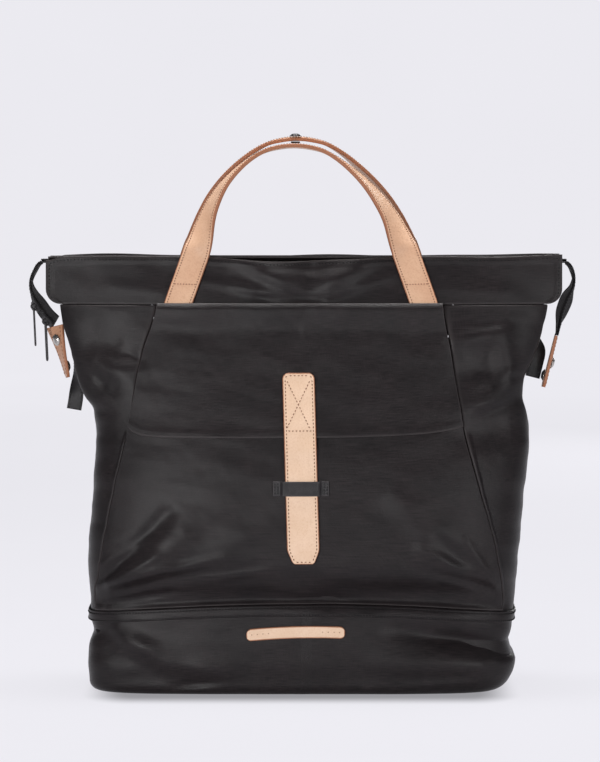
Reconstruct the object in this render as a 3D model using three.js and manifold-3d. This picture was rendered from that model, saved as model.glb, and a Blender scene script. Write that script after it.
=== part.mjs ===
// Convertible backpack: a soft zip-top bag in coated canvas, carried by two leather handles
// or by two shoulder straps on its back. Millimetres, +Z up, the front faces -Y.
// The origin is the middle of the flat base.
import * as THREE from "three";
import { mergeVertices } from "three/addons/utils/BufferGeometryUtils.js";
import Module from "manifold-3d";

// Driving sizes of the bag
const BASE_WIDTH = 402;
const BASE_DEPTH = 140;
const BASE_HEIGHT = 71; // floor to the seam over the base panel
const BASE_EDGE = { left: 9, right: 20 }; // rounding between base and floor
const BODY_HEIGHT = 411; // floor to the top edge
const TOP_WIDTH = 486.7; // across the band at the top
const TOP_SHIFT = 2.8; // the top band has slumped this far to the right
const YOKE_HEIGHT = 47; // the band round the top
const YOKE_CORNER = 14; // rounding of the band's free lower corners
const SEAM_ARCH = 9.5; // rise of the base seam between the corners
const CLOTH = 2; // coated canvas with its lining
const GAP = 0.3; // between pieces that touch
const SEAM_GAP = 0.6; // between panels that are sewn edge to edge
const LAY_GAP = 0.8; // under a flat piece that lies on the curved cloth
const WRAP_GAP = 1.1; // under a piece that lies on a strongly curved part
const GUSSET_FOLD = 20; // how far the side folds in under the band
const FOLD_REACH = 0.6; // the fold's share of the side, each way from its middle

// Front pocket and flap
const FLAP_OVER = 2; // the flap's fold lies this far over the band's lower edge
const FLAP_LENGTH = 124;
const POCKET_TUCK = 36; // the pocket's edge lies this far below the flap's fold
const FLAP_CORNER_LIFT = 10; // its corners hang higher than its middle
const FLAP_CORNER_REACH = 40; // height over which that lift fades
const FLAP_ROLL = 5.4; // the flap's folded top stands out this far
const FLAP_ROLL_REACH = 26;
const RIM_WIDTH = 7; // rolled edge beside the pocket
const RIM_PROUD = 2.6;

// Band over the base seam
const BAND_HEIGHT = 10.5;
const BAND_THICK = 1;
const BAND_LIFT = 0.95; // it bridges the seam's small steps

// Leather
const STRAP_WIDTH = 30;
const STRAP_LENGTH = 177;
const STRAP_BELOW = 64; // the strap's top lies this far below the flap's fold
const STRAP_TIP = 5; // height of its narrowing lower end
const STRAP_STEP = 20; // height over which it comes down from the flap to the pocket
const STRAP_DRIFT = 2.5; // the strap runs a little askew
const LEATHER = 2.8;
const KEEPER_WIDTH = 52;
const KEEPER_HEIGHT = 13.5;
const KEEPER_BELOW = 46; // from the flap's lower edge to its middle
const KEEPER_THICK = 1.4;
const PLATE_WIDTH = 92;
const PLATE_HEIGHT = 10;
const PLATE_AT = 51.8; // height of its middle
const PLATE_SHIFT = -5; // it sits left of the middle
const PLATE_THICK = 1.8;
const PLATE_BOW = 1.2; // the plate follows the sagging base
const PLATE_TILT = 1; // its right end lies this much above its middle
const HANDLE_WIDTH = 25.5;
const HANDLE_THICK = 3.6;
const HANDLE_SPREAD = 113; // foot to the middle of the bag
const HANDLE_RISE = 101.5; // top edge of the bag to the front handle's crown
const HANDLE_TUCK = 6; // length of a foot below the band
const CROWN_STEP = 7; // the back handle's crown lies this much higher
const CROWN_GAP = 0.85; // the crowns bow a little under the stud and cap
const CAP_GAP = 0.4;

// Zip
const TAPE_WIDTH = 26;
const TAPE_THICK = 1.2;
const TAPE_DROP = 7; // the tape lies this far below the top edge
const COIL_WIDTH = 5.5;
const COIL_THICK = 1.8;
const ZIP_REACH = 16; // the tape's ends stand out this far from the band
const TAPE_FALL = 1.34; // drop of the tape's left end below the top edge, in band heights
const TAB_WIDTH = 20;
const TAB_LENGTH = 48.5;
const TAB_JOIN = { left: 3, right: 0.6 }; // from the tape's ends, which meet the tabs askew
const TAB_ROLLS = { left: [238, 214, 200, 192], right: [-4, -3, -2, 0] }; // their twist, downwards
const TAB_LEAN = 12; // a tab's lower end lies this far inwards of its upper one
const TAB_BACK = 2.1; // and this far forwards
const SLIDER_PLACES = [2.05, 0.65]; // along the rows of the tape, from its left end
const SLIDER_LENGTH = 12;
const SLIDER_WIDTH = 8.5;
const SLIDER_THICK = 4;
const PULL_LENGTH = 36;
const PULL_WIDTH = 5.6;
const PULL_WIRE = 1.5;
const PULL_TURN = 0.8; // how far the pulls turn from straight down to the slider's own line
const SNAP_WIDTH = 11;
const SNAP_HEIGHT = 2.6;
const SIDE_STRAP_WIDTH = 14;
const SIDE_STRAP_THICK = 1.8;

// Shoulder straps on the back
const PAD_WIDTH = 58;
const PAD_THICK = 10;
const PAD_BOW = 34; // clear space behind the strap
const PAD_SPREAD = 48; // strap's top to the middle of the back
const PAD_DROP = 28; // from the band down to a strap's top
const PAD_LENGTH = 198; // height from a strap's top to the end of its pad
const WEBBING_FOOT = 1.5; // height of the webbing's lower end over the base seam, in seam bands
const WEBBING_WIDTH = 24;
const WEBBING_THICK = 1.6;
const ADJUSTER_WIDTH = 34;
const ADJUSTER_HEIGHT = 22;
const ADJUSTER_THICK = 4;
const ANCHOR_WIDTH = 176;
const ANCHOR_HEIGHT = 22;
const ANCHOR_THICK = 3;
const ANCHOR_LIFT = 3; // from a strap's top up to the band across the back

// Heights that follow from them
const YOKE_BOTTOM = BODY_HEIGHT - YOKE_HEIGHT;
const FLAP_TOP = YOKE_BOTTOM + FLAP_OVER;
const FLAP_BOTTOM = FLAP_TOP - FLAP_LENGTH;
const POCKET_TOP = FLAP_TOP - POCKET_TUCK;
const STRAP_TOP = FLAP_TOP - STRAP_BELOW;
const STRAP_BOTTOM = STRAP_TOP - STRAP_LENGTH;
const KEEPER_AT = FLAP_BOTTOM - KEEPER_BELOW;
const PAD_TOP = YOKE_BOTTOM - PAD_DROP;
const PAD_BOTTOM = PAD_TOP - PAD_LENGTH;

const HALF_WIDTH = BASE_WIDTH / 2;
const HALF_DEPTH = BASE_DEPTH / 2;
const FLARE = (TOP_WIDTH - BASE_WIDTH) / 2;

// Cross sections. up: share of the body's height. left, right: share of the flare added to
// the half width. front, back: share of the half depth. square: 2 is an ellipse, more is boxier.
const SECTIONS = [
  { up: 0.03, left: 0.0, right: -0.02, front: 0.97, back: 0.97, square: 5.0 },
  { up: 0.07, left: 0.02, right: 0.06, front: 1.0, back: 1.0, square: 5.0 },
  { up: 0.1, left: 0.0, right: -0.08, front: 1.0, back: 1.0, square: 4.9 },
  { up: 0.135, left: -0.09, right: -0.02, front: 0.98, back: 0.985, square: 4.8 },
  { up: 0.165, left: -0.03, right: 0.0, front: 0.97, back: 0.98, square: 4.7 },
  { up: 0.205, left: -0.04, right: 0.02, front: 0.97, back: 0.98, square: 4.6 },
  { up: 0.3, left: 0.01, right: 0.105, front: 1.19, back: 1.04, square: 4.3 },
  { up: 0.46, left: -0.105, right: 0.245, front: 1.1, back: 1.02, square: 4.0 },
  { up: 0.585, left: -0.165, right: 0.37, front: 0.95, back: 0.93, square: 3.8 },
  { up: 0.642, left: -0.075, right: 0.34, front: 0.87, back: 0.87, square: 3.7 },
  { up: 0.676, left: 0.17, right: 0.28, front: 0.82, back: 0.82, square: 3.7 },
  { up: 0.71, left: 0.35, right: 0.335, front: 0.77, back: 0.78, square: 3.6 },
  { up: 0.775, left: 0.52, right: 0.635, front: 0.68, back: 0.68, square: 3.5 },
  { up: 0.852, left: 0.75, right: 0.86, front: 0.57, back: 0.57, square: 3.4 },
  { up: 0.886, left: 0.805, right: 0.92, front: 0.52, back: 0.52, square: 3.4 },
  { up: 1.0, left: 0.96, right: 1.08, front: 0.34, back: 0.34, square: 3.2 },
];

// The sloping side lines of the pocket and flap: shares of the half base width.
const SIDE_LINES = [
  { up: 0.16, left: 0.963, right: 0.95 },
  { up: 0.2, left: 0.955, right: 0.94 },
  { up: 0.255, left: 0.942, right: 0.925 },
  { up: 0.345, left: 0.912, right: 0.893 },
  { up: 0.47, left: 0.862, right: 0.824 },
  { up: 0.6, left: 0.803, right: 0.757 },
  { up: 0.77, left: 0.742, right: 0.7 },
  { up: 0.9, left: 0.67, right: 0.66 },
];

// Soft folds and dents of the front, each along a line from one end to the other. x: share of
// the half base width, up: share of the body's height, wide: share of the half width,
// high: share of the half depth, and below 0 for a dent.
const FOLDS = [
  { x: 0.71, up: 0.805, toX: 0.93, toUp: 0.823, wide: 0.045, high: 0.05 },
  { x: 0.93, up: 0.817, toX: 0.97, toUp: 0.715, wide: 0.05, high: 0.06 },
  { x: 0.96, up: 0.703, toX: 0.75, toUp: 0.65, wide: 0.055, high: 0.06 },
  { x: 0.78, up: 0.74, toX: 0.9, toUp: 0.757, wide: 0.075, high: -0.07 },
  { x: 0.78, up: 0.6, toX: 0.98, toUp: 0.61, wide: 0.09, high: -0.06 },
  { x: -0.95, up: 0.8, toX: -0.83, toUp: 0.79, wide: 0.08, high: -0.06 },
  { x: -0.95, up: 0.762, toX: -0.79, toUp: 0.718, wide: 0.05, high: 0.05 },
  { x: -0.98, up: 0.71, toX: -0.9, toUp: 0.695, wide: 0.05, high: -0.06 },
  { x: -0.91, up: 0.263, toX: -0.62, toUp: 0.416, wide: 0.04, high: -0.045 },
  { x: -0.87, up: 0.242, toX: -0.55, toUp: 0.37, wide: 0.07, high: 0.05 },
  { x: -0.7, up: 0.218, toX: 0.13, toUp: 0.205, wide: 0.05, high: -0.09 },
  { x: 0.13, up: 0.205, toX: 0.8, toUp: 0.218, wide: 0.075, high: -0.09 },
  { x: 0.64, up: 0.348, toX: 0.85, toUp: 0.246, wide: 0.045, high: -0.045 },
  { x: 0.46, up: 0.45, toX: 0.78, toUp: 0.28, wide: 0.07, high: 0.04 },
  { x: 0.43, up: 0.134, toX: 0.95, toUp: 0.107, wide: 0.05, high: -0.08 },
  { x: 0.36, up: 0.07, toX: 0.82, toUp: 0.062, wide: 0.05, high: 0.035 },
  { x: -0.85, up: 0.135, toX: -0.62, toUp: 0.066, wide: 0.045, high: 0.05 },
  { x: -0.91, up: 0.134, toX: -0.86, toUp: 0.088, wide: 0.07, high: -0.04 },
  { x: -0.28, up: 0.985, toX: -0.01, toUp: 0.92, wide: 0.055, high: 0.04 },
  { x: 0.3, up: 0.98, toX: 0.08, toUp: 0.915, wide: 0.055, high: 0.04 },
  { x: 0.05, up: 0.985, toX: 0.04, toUp: 0.95, wide: 0.06, high: -0.04 },
];

// Smooth value of one column of a table at a place along its key column, without overshoot.
function column(table, key, name, at) {
  const last = table.length - 1;
  if (at <= table[0][key]) return table[0][name];
  if (at >= table[last][key]) return table[last][name];
  const k = table.findIndex((row) => row[key] > at) - 1;
  const slope = (i) =>
    (table[i + 1][name] - table[i][name]) / (table[i + 1][key] - table[i][key]);
  const tangent = (i) => {
    if (i === 0 || i === last) return 0;
    const [a, b] = [slope(i - 1), slope(i)];
    return a * b <= 0 ? 0 : (2 * a * b) / (a + b);
  };
  const span = table[k + 1][key] - table[k][key];
  const t = (at - table[k][key]) / span;
  const [t2, t3] = [t * t, t * t * t];
  return (
    table[k][name] * (2 * t3 - 3 * t2 + 1) +
    table[k + 1][name] * (3 * t2 - 2 * t3) +
    span * (tangent(k) * (t3 - 2 * t2 + t) + tangent(k + 1) * (t3 - t2))
  );
}

const clamp01 = (v) => Math.min(1, Math.max(0, v));
const smooth = (v) => clamp01(v) ** 2 * (3 - 2 * clamp01(v));
const mix = (a, b, t) => a + (b - a) * t;

// Half widths, half depths and squareness of the body at a height.
function sectionAt(z) {
  const up = z / BODY_HEIGHT;
  const read = (name) => column(SECTIONS, "up", name, up);
  const inset = (edge) => edge - Math.sqrt(edge ** 2 - Math.max(0, edge - z) ** 2);
  return {
    left: HALF_WIDTH + FLARE * read("left") - inset(BASE_EDGE.left),
    right: HALF_WIDTH + FLARE * read("right") - inset(BASE_EDGE.right),
    front: HALF_DEPTH * read("front") - inset(BASE_EDGE.left),
    back: HALF_DEPTH * read("back") - inset(BASE_EDGE.left),
    square: read("square"),
  };
}

// A station runs round the section: 0 front middle, 1 front corner, 2 side middle,
// 3 back corner, 4 back middle; below 0 on the left side.
function sectionPoint(turn, z) {
  const s = sectionAt(z);
  const station = Math.abs(turn) > 4 ? turn - 8 * Math.sign(turn) : turn;
  const a = Math.abs(station);
  const across = a <= 1 ? a : a <= 3 ? 1 : 4 - a;
  const along = a <= 1 ? -1 : a <= 3 ? a - 2 : 1;
  const r = (across ** s.square + Math.abs(along) ** s.square) ** (-1 / s.square);
  const side = station < 0 ? -1 : 1;
  const foldRise = smooth((z / BODY_HEIGHT - 0.6) / 0.16);
  const fold = GUSSET_FOLD * foldRise * smooth(1 - Math.abs(a - 2) / FOLD_REACH);
  return new THREE.Vector2(
    side * (across * r * (side < 0 ? s.left : s.right) - fold),
    along * r * (along < 0 ? s.front : s.back),
  );
}

// Even steps turned into stations that crowd round the corners, and back again.
const CROWDING = 0.65;
const crowded = (t) => t + (CROWDING / Math.PI) * Math.sin(Math.PI * t);
function uncrowded(station) {
  let t = station;
  for (let k = 0; k < 40; k++) t -= 0.5 * (crowded(t) - station);
  return t;
}
const mixStations = (a, b, share) => crowded(mix(uncrowded(a), uncrowded(b), share));

// The station on the front at which the section is x wide.
function stationAt(x, z) {
  const s = sectionAt(z);
  const share = Math.min(0.999, Math.abs(x) / (x < 0 ? s.left : s.right)) ** s.square;
  const station =
    share <= 0.5
      ? (share / (1 - share)) ** (1 / s.square)
      : 2 - (1 / share - 1) ** (1 / s.square);
  return Math.sign(x) * station;
}

// How far the folds push the front out at a place.
function relief(x, z) {
  let sum = 0;
  for (const f of FOLDS) {
    const a = new THREE.Vector2(f.x * HALF_WIDTH, f.up * BODY_HEIGHT);
    const b = new THREE.Vector2(f.toX * HALF_WIDTH, f.toUp * BODY_HEIGHT);
    const along = b.clone().sub(a);
    const p = new THREE.Vector2(x, z).sub(a);
    const t = p.dot(along) / along.lengthSq();
    const nearest = clamp01(t);
    const off = p.sub(along.multiplyScalar(nearest)).length() / (f.wide * HALF_WIDTH);
    sum += f.high * HALF_DEPTH * Math.exp(-off * off) * (1 - 0.4 * (2 * nearest - 1) ** 2);
  }
  return sum;
}

// A point of the bag's surface, moved outwards by an offset. The base seam's arch lifts
// the heights round it.
function skin(station, z, offset = 0) {
  const here = sectionPoint(station, z);
  const step = 0.01;
  const next = sectionPoint(station + step, z);
  const before = sectionPoint(station - step, z);
  const out = new THREE.Vector2(next.y - before.y, before.x - next.x).normalize();
  if (out.y * (Math.abs(station) < 2 ? -1 : 1) < 0 && Math.abs(out.y) > Math.abs(out.x))
    out.negate();
  const frontShare = smooth(-here.y / (0.35 * HALF_DEPTH) + 0.2);
  const push = offset + relief(here.x, z) * frontShare;
  const nearSeam = Math.max(0, 1 - ((z - BASE_HEIGHT) / BASE_HEIGHT) ** 2) ** 2;
  const lift = SEAM_ARCH * nearSeam * Math.max(0, 1 - (here.x / HALF_WIDTH) ** 2);
  return new THREE.Vector3(here.x + out.x * push, here.y + out.y * push, z + lift);
}

// A point of the front between the side lines: across runs from -1 to 1.
function front(across, z, offset) {
  const corner = FLAP_CORNER_LIFT * Math.abs(across) ** 3;
  const lifted = z + corner * Math.exp(-(((z - FLAP_BOTTOM) / FLAP_CORNER_REACH) ** 2));
  const up = lifted / BODY_HEIGHT;
  const left = stationAt(-HALF_WIDTH * column(SIDE_LINES, "up", "left", up), lifted);
  const right = stationAt(HALF_WIDTH * column(SIDE_LINES, "up", "right", up), lifted);
  return skin(mixStations(left, right, (across + 1) / 2), lifted, offset);
}

// The front of the top band, as a depth behind or before the middle of the bag.
function yokeDepth(x, z) {
  const up = (z - YOKE_BOTTOM) / YOKE_HEIGHT;
  const middle = HALF_DEPTH * mix(0.54, 0.36, up);
  const end = HALF_DEPTH * mix(0.26, 0.22, up);
  const share = Math.min(1, Math.abs(x - TOP_SHIFT) / (TOP_WIDTH / 2));
  return end + (middle - end) * (1 - share ** 3.5);
}

// Closed solid from vertices and triangles, turned so that its faces point out.
function solid(points, triangles) {
  let volume = 0;
  for (const [a, b, c] of triangles)
    volume += points[a].dot(new THREE.Vector3().crossVectors(points[b], points[c]));
  const faces = volume < 0 ? triangles.map(([a, b, c]) => [a, c, b]) : triangles;
  const geometry = new THREE.BufferGeometry();
  geometry.setAttribute(
    "position",
    new THREE.Float32BufferAttribute(points.flatMap((p) => [p.x, p.y, p.z]), 3),
  );
  geometry.setIndex(faces.flat());
  geometry.computeVertexNormals();
  return geometry;
}

// A wall with free edges: place(i, j, 0) is its outer face and place(i, j, 1) its inner one.
function sheet(columns, rows, place) {
  const points = [];
  for (const face of [0, 1])
    for (let j = 0; j <= rows; j++)
      for (let i = 0; i <= columns; i++) points.push(place(i, j, face));
  const wide = columns + 1;
  const at = (i, j, face) => face * wide * (rows + 1) + j * wide + i;
  const triangles = [];
  const quad = (a, b, c, d) => triangles.push([a, b, c], [a, c, d]);
  for (let j = 0; j < rows; j++)
    for (let i = 0; i < columns; i++) {
      quad(at(i, j, 0), at(i + 1, j, 0), at(i + 1, j + 1, 0), at(i, j + 1, 0));
      quad(at(i, j, 1), at(i, j + 1, 1), at(i + 1, j + 1, 1), at(i + 1, j, 1));
    }
  for (let i = 0; i < columns; i++) {
    quad(at(i, 0, 0), at(i, 0, 1), at(i + 1, 0, 1), at(i + 1, 0, 0));
    quad(at(i, rows, 0), at(i + 1, rows, 0), at(i + 1, rows, 1), at(i, rows, 1));
  }
  for (let j = 0; j < rows; j++) {
    quad(at(0, j, 0), at(0, j + 1, 0), at(0, j + 1, 1), at(0, j, 1));
    quad(at(columns, j, 0), at(columns, j, 1), at(columns, j + 1, 1), at(columns, j + 1, 0));
  }
  return solid(points, triangles);
}

// A closed tube of rings: ring(k) gives the same number of points for every k. With loop
// the last ring joins the first; otherwise flat ends close it.
function rings(count, ring, loop = false) {
  const loops = Array.from({ length: count }, (_, k) => ring(k));
  const sides = loops[0].length;
  const points = loops.flat();
  const triangles = [];
  const joins = loop ? count : count - 1;
  for (let k = 0; k < joins; k++)
    for (let i = 0; i < sides; i++) {
      const [a, b] = [k * sides + i, k * sides + ((i + 1) % sides)];
      const next = ((k + 1) % count) * sides;
      const [c, d] = [next + ((i + 1) % sides), next + i];
      triangles.push([a, b, c], [a, c, d]);
    }
  if (!loop) {
    const last = (count - 1) * sides;
    for (let i = 1; i < sides - 1; i++)
      triangles.push([0, i + 1, i], [last, last + i, last + i + 1]);
  }
  return solid(points, triangles);
}

// Value of a ribbon table's column at a place counted in rows, on a Catmull-Rom curve.
function alongRows(rows, name, at) {
  const k = Math.min(rows.length - 2, Math.floor(at));
  const t = at - k;
  const value = (i) => rows[Math.min(rows.length - 1, Math.max(0, i))][name];
  const [p, q, r, s] = [value(k - 1), value(k), value(k + 1), value(k + 2)];
  const curve = (2 * p - 5 * q + 4 * r - s) * t * t + (3 * q - p - 3 * r + s) * t ** 3;
  return q + 0.5 * ((r - p) * t + curve);
}

// Middle, direction, width direction and outward face of a ribbon. With no roll, the width
// runs front to back and the outer face is on the left of the way up.
function ribbonFrame(rows, at) {
  const point = (s) =>
    new THREE.Vector3(...["x", "y", "z"].map((name) => alongRows(rows, name, s)));
  const last = rows.length - 1;
  const ahead = point(Math.min(last, at + 0.02));
  const along = ahead.sub(point(Math.max(0, at - 0.02))).normalize();
  const flat = new THREE.Vector3(0, 1, 0);
  flat.addScaledVector(along, -flat.dot(along)).normalize();
  const face = new THREE.Vector3().crossVectors(along, flat);
  const roll = THREE.MathUtils.degToRad(alongRows(rows, "roll", at));
  const out = face.clone().multiplyScalar(Math.cos(roll)).addScaledVector(flat, Math.sin(roll));
  const width = flat.multiplyScalar(Math.cos(roll)).addScaledVector(face, -Math.sin(roll));
  return { middle: point(at), along, width, out };
}

// A flat strip that follows a table of rows, lifted off its middle line by an offset.
function ribbon(rows, steps, width, thickness, offset = 0) {
  return sheet(1, steps, (i, j, face) => {
    const frame = ribbonFrame(rows, ((rows.length - 1) * j) / steps);
    const lift = offset + (face === 0 ? thickness / 2 : -thickness / 2);
    return frame.middle
      .addScaledVector(frame.width, (i - 0.5) * width)
      .addScaledVector(frame.out, lift);
  });
}

const canvas = { color: 0x2b2829, roughness: 0.62, metalness: 0 };
const leather = { color: 0xe3b890, roughness: 0.55, metalness: 0 };
const blackLeather = { color: 0x1d1a1c, roughness: 0.5, metalness: 0 };
const tapeCloth = { color: 0x171617, roughness: 0.8, metalness: 0 };
const darkMetal = { color: 0x3a3a3c, roughness: 0.35, metalness: 1 };
const steel = { color: 0xb4b0ab, roughness: 0.28, metalness: 1 };
const plastic = { color: 0x151515, roughness: 0.45, metalness: 0 };

const bag = new THREE.Group();

function add(name, geometry, finish) {
  const mesh = new THREE.Mesh(geometry, new THREE.MeshStandardMaterial(finish));
  mesh.name = name;
  bag.add(mesh);
  return mesh;
}

// Base: a cup with a flat bottom and its wall up to the seam.
const ROUND_STEPS = 48;
const roundStation = (k) => crowded((8 * k) / ROUND_STEPS - 4);
const BAND_LOW = BASE_HEIGHT - BAND_HEIGHT / 2;
const BASE_TOP = BASE_HEIGHT - SEAM_GAP / 2;
const edgeLevels = [0, 0.25, 0.67].map((share) => share * BASE_EDGE.left);
const wallLevels = [0.25, 0.45, 0.7].map((share) => share * BASE_HEIGHT);
const BASE_LEVELS = [...edgeLevels, ...wallLevels, BAND_LOW, BASE_TOP];
const LINING_LEVELS = [BASE_TOP, BAND_LOW, wallLevels[1], CLOTH];
function baseCup() {
  const ringAt = (z, offset) =>
    Array.from({ length: ROUND_STEPS }, (_, k) => skin(roundStation(k), z, offset));
  const outer = BASE_LEVELS.map((z) => ringAt(z, 0));
  const inner = LINING_LEVELS.map((z) => ringAt(z, -CLOTH));
  const all = [...outer, ...inner];
  return rings(all.length, (k) => all[k]);
}

// Band over the seam, all the way round.
function seamBand() {
  const high = BAND_LOW + BAND_HEIGHT;
  const face = BAND_LIFT + BAND_THICK;
  const edges = [
    [BAND_LOW, BAND_LIFT],
    [BAND_LOW, face],
    [BASE_HEIGHT, face],
    [high, face],
    [high, BAND_LIFT],
  ];
  const ring = (k) => edges.map(([z, offset]) => skin(roundStation(k), z, offset));
  return rings(ROUND_STEPS, ring, true);
}

// Heights shared by the layers of the front, so that their facets line up.
const FRONT_COLUMNS = 16;
const LOWEST = BASE_HEIGHT + SEAM_GAP / 2;
const POCKET_LOW = BASE_HEIGHT + BAND_HEIGHT / 2 + SEAM_GAP;
const BODY_TOP = YOKE_BOTTOM - SEAM_GAP / 2;
const evenly = (from, to, count) =>
  Array.from({ length: count + 1 }, (_, i) => mix(from, to, i / count));
const POCKET_LEVELS = evenly(POCKET_LOW, FLAP_BOTTOM, 8);
const FLAP_LEVELS = evenly(FLAP_BOTTOM, POCKET_TOP, 4);
const TOP_LEVELS = evenly(POCKET_TOP, BODY_TOP, 2);
const FRONT_EDGE = 0.995; // keeps the front clear of the side panels

function frontLayer(levels, offset, thickness) {
  return sheet(FRONT_COLUMNS, levels.length - 1, (i, j, face) => {
    const across = FRONT_EDGE * ((2 * i) / FRONT_COLUMNS - 1);
    const lift = typeof offset === "function" ? offset(levels[j]) : offset;
    return front(across, levels[j], lift + (face === 0 ? thickness : 0));
  });
}

const uniqueLevels = (...lists) => lists.flat().filter((z, i, all) => i === 0 || z > all[i - 1]);
const frontPanel = () =>
  frontLayer(uniqueLevels([LOWEST], POCKET_LEVELS, FLAP_LEVELS, TOP_LEVELS), -CLOTH, CLOTH);
const pocketPanel = () =>
  frontLayer(uniqueLevels(POCKET_LEVELS, FLAP_LEVELS), GAP, CLOTH);

// The flap hangs from a rolled fold that covers the ends of the front handle.
const FLAP_OFFSET = GAP + CLOTH + GAP;
const flapLift = (z) =>
  FLAP_OFFSET + FLAP_ROLL * smooth((z - mix(POCKET_TOP, FLAP_TOP, 0.2)) / FLAP_ROLL_REACH);
const flapPanel = () =>
  frontLayer(uniqueLevels(FLAP_LEVELS, evenly(POCKET_TOP, FLAP_TOP, 4)), flapLift, CLOTH);

// Side panels run from the sloping line of the pocket round to the back seam, with a rolled
// edge beside the pocket.
const BACK_SEAM = 3.35; // station of the back seams
const SIDE_COLUMNS = 12;
const SIDE_LEVELS = uniqueLevels([LOWEST], POCKET_LEVELS, FLAP_LEVELS, TOP_LEVELS);
function sidePanel(side) {
  const levels = SIDE_LEVELS;
  return sheet(SIDE_COLUMNS, levels.length - 1, (i, j, face) => {
    const z = levels[j];
    const line = column(SIDE_LINES, "up", side < 0 ? "left" : "right", z / BODY_HEIGHT);
    const start = Math.abs(stationAt(HALF_WIDTH * line * side, z));
    const rim = Math.min(i, 2) * (RIM_WIDTH / 2 / HALF_WIDTH);
    const rest = Math.max(0, i - 2) / (SIDE_COLUMNS - 2);
    const station = mixStations(start + SEAM_GAP / HALF_WIDTH + rim, BACK_SEAM, rest);
    const beside = z > POCKET_LOW && z < FLAP_BOTTOM ? 1 : 0;
    const proud = i < 2 ? RIM_PROUD * beside : 0;
    return skin(side * station, z, face === 0 ? proud : -CLOTH);
  });
}

function backPanel() {
  const columns = 10;
  const levels = SIDE_LEVELS;
  const seam = BACK_SEAM + SEAM_GAP / HALF_WIDTH;
  return sheet(columns, levels.length - 1, (i, j, face) => {
    const station = mixStations(seam, 8 - seam, i / columns);
    return skin(station, levels[j], face === 0 ? 0 : -CLOTH);
  });
}

// Band round the top, in two pieces whose ends are free.
function yoke(facing) {
  const columns = 24;
  const rows = 3;
  const low = YOKE_BOTTOM + SEAM_GAP / 2;
  return sheet(columns, rows, (i, j, face) => {
    const z = mix(low, BODY_HEIGHT, j / rows);
    const below = Math.max(0, YOKE_CORNER - (z - low));
    const inset = YOKE_CORNER - Math.sqrt(YOKE_CORNER ** 2 - below ** 2);
    const half = TOP_WIDTH / 2 - inset;
    const x = TOP_SHIFT + half * ((2 * i) / columns - 1);
    const push = facing < 0 ? relief(x, z) * 0.8 : 0;
    return new THREE.Vector3(x, facing * (yokeDepth(x, z) + push - face * CLOTH), z);
  });
}

// Folded end of the side, between the two halves of the band.
function gussetTop(side) {
  const bend = [1, 0.45, 0, 0.45, 1];
  const end = TOP_SHIFT * side + TOP_WIDTH / 2 - YOKE_CORNER;
  const low = YOKE_BOTTOM + SEAM_GAP / 2;
  const high = BODY_HEIGHT - TAPE_DROP - TAPE_THICK - SEAM_GAP;
  return sheet(bend.length - 1, 2, (i, j, face) => {
    const z = mix(low, high, j / 2);
    const room = yokeDepth(side * end, z) - CLOTH - SEAM_GAP;
    const y = room * ((2 * i) / (bend.length - 1) - 1);
    return new THREE.Vector3(side * (end - GUSSET_FOLD * (1 - bend[i]) - face * CLOTH), y, z);
  });
}

// Cloth strips between the band and the zip tape.
const GUSSET_LAP = 3; // they lie this far over the tape
const GUSSET_RISE = 0.64 * TAPE_DROP;
function zipGusset(facing) {
  const columns = 24;
  const half = TOP_WIDTH / 2 - CLOTH;
  const height = BODY_HEIGHT - TAPE_DROP + SEAM_GAP;
  return sheet(columns, 1, (i, j, face) => {
    const x = TOP_SHIFT + half * ((2 * i) / columns - 1);
    const dent = Math.min(0, relief(x, BODY_HEIGHT));
    const wall = yokeDepth(x, BODY_HEIGHT) - CLOTH - 2 * SEAM_GAP + dent;
    const inner = TAPE_WIDTH / 2 - GUSSET_LAP;
    const y = mix(inner, Math.max(wall, inner + GUSSET_LAP / 3), j);
    const z = height + GUSSET_RISE * j + (face === 0 ? TAPE_THICK : 0);
    return new THREE.Vector3(x, facing * y, z);
  });
}

// Zip tape: its ends run out past the band and down to the leather tabs.
const LEFT_END = TOP_SHIFT - TOP_WIDTH / 2;
const RIGHT_END = TOP_SHIFT + TOP_WIDTH / 2;
const TAPE_LEVEL = BODY_HEIGHT - TAPE_DROP;
const TAB_TOP = BODY_HEIGHT - TAPE_FALL * YOKE_HEIGHT; // height of the tape's left end
// out: beyond the band's end, as a share of the reach. ahead: share of the tape's width
// towards the front. down: share of the way from the tape's level to the tabs.
const ZIP_ENDS = {
  left: [
    { out: -0.5, ahead: 0.35, down: 1.04, roll: -36 },
    { out: -0.02, ahead: 0.3, down: 0.91, roll: -36 },
    { out: 0.42, ahead: 0.22, down: 0.74, roll: -34 },
    { out: 0.8, ahead: 0.12, down: 0.56, roll: -22 },
    { out: 0.92, ahead: 0.05, down: 0.36, roll: -6 },
    { out: 0.7, ahead: 0, down: 0.17, roll: 0 },
    { out: 0.3, ahead: 0, down: 0.03, roll: 0 },
    { out: -0.75, ahead: 0, down: 0, roll: 0 },
  ],
  right: [
    { out: -0.75, ahead: 0, down: 0, roll: 0 },
    { out: 0.33, ahead: 0, down: 0.04, roll: 0 },
    { out: 0.7, ahead: 0, down: 0.22, roll: -2 },
    { out: 0.68, ahead: 0.02, down: 0.43, roll: -14 },
    { out: 0.4, ahead: 0.06, down: 0.63, roll: -32 },
    { out: 0.08, ahead: 0.11, down: 0.86, roll: -30 },
    { out: -0.13, ahead: 0.15, down: 1.07, roll: -14 },
    { out: -0.28, ahead: 0.19, down: 1.25, roll: -4 },
  ],
};
const zipEnd = (side, end) =>
  ZIP_ENDS[side < 0 ? "left" : "right"].map((row) => ({
    x: end + side * row.out * ZIP_REACH,
    y: -row.ahead * TAPE_WIDTH,
    z: mix(TAPE_LEVEL, TAB_TOP, row.down),
    roll: row.roll,
  }));
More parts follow.
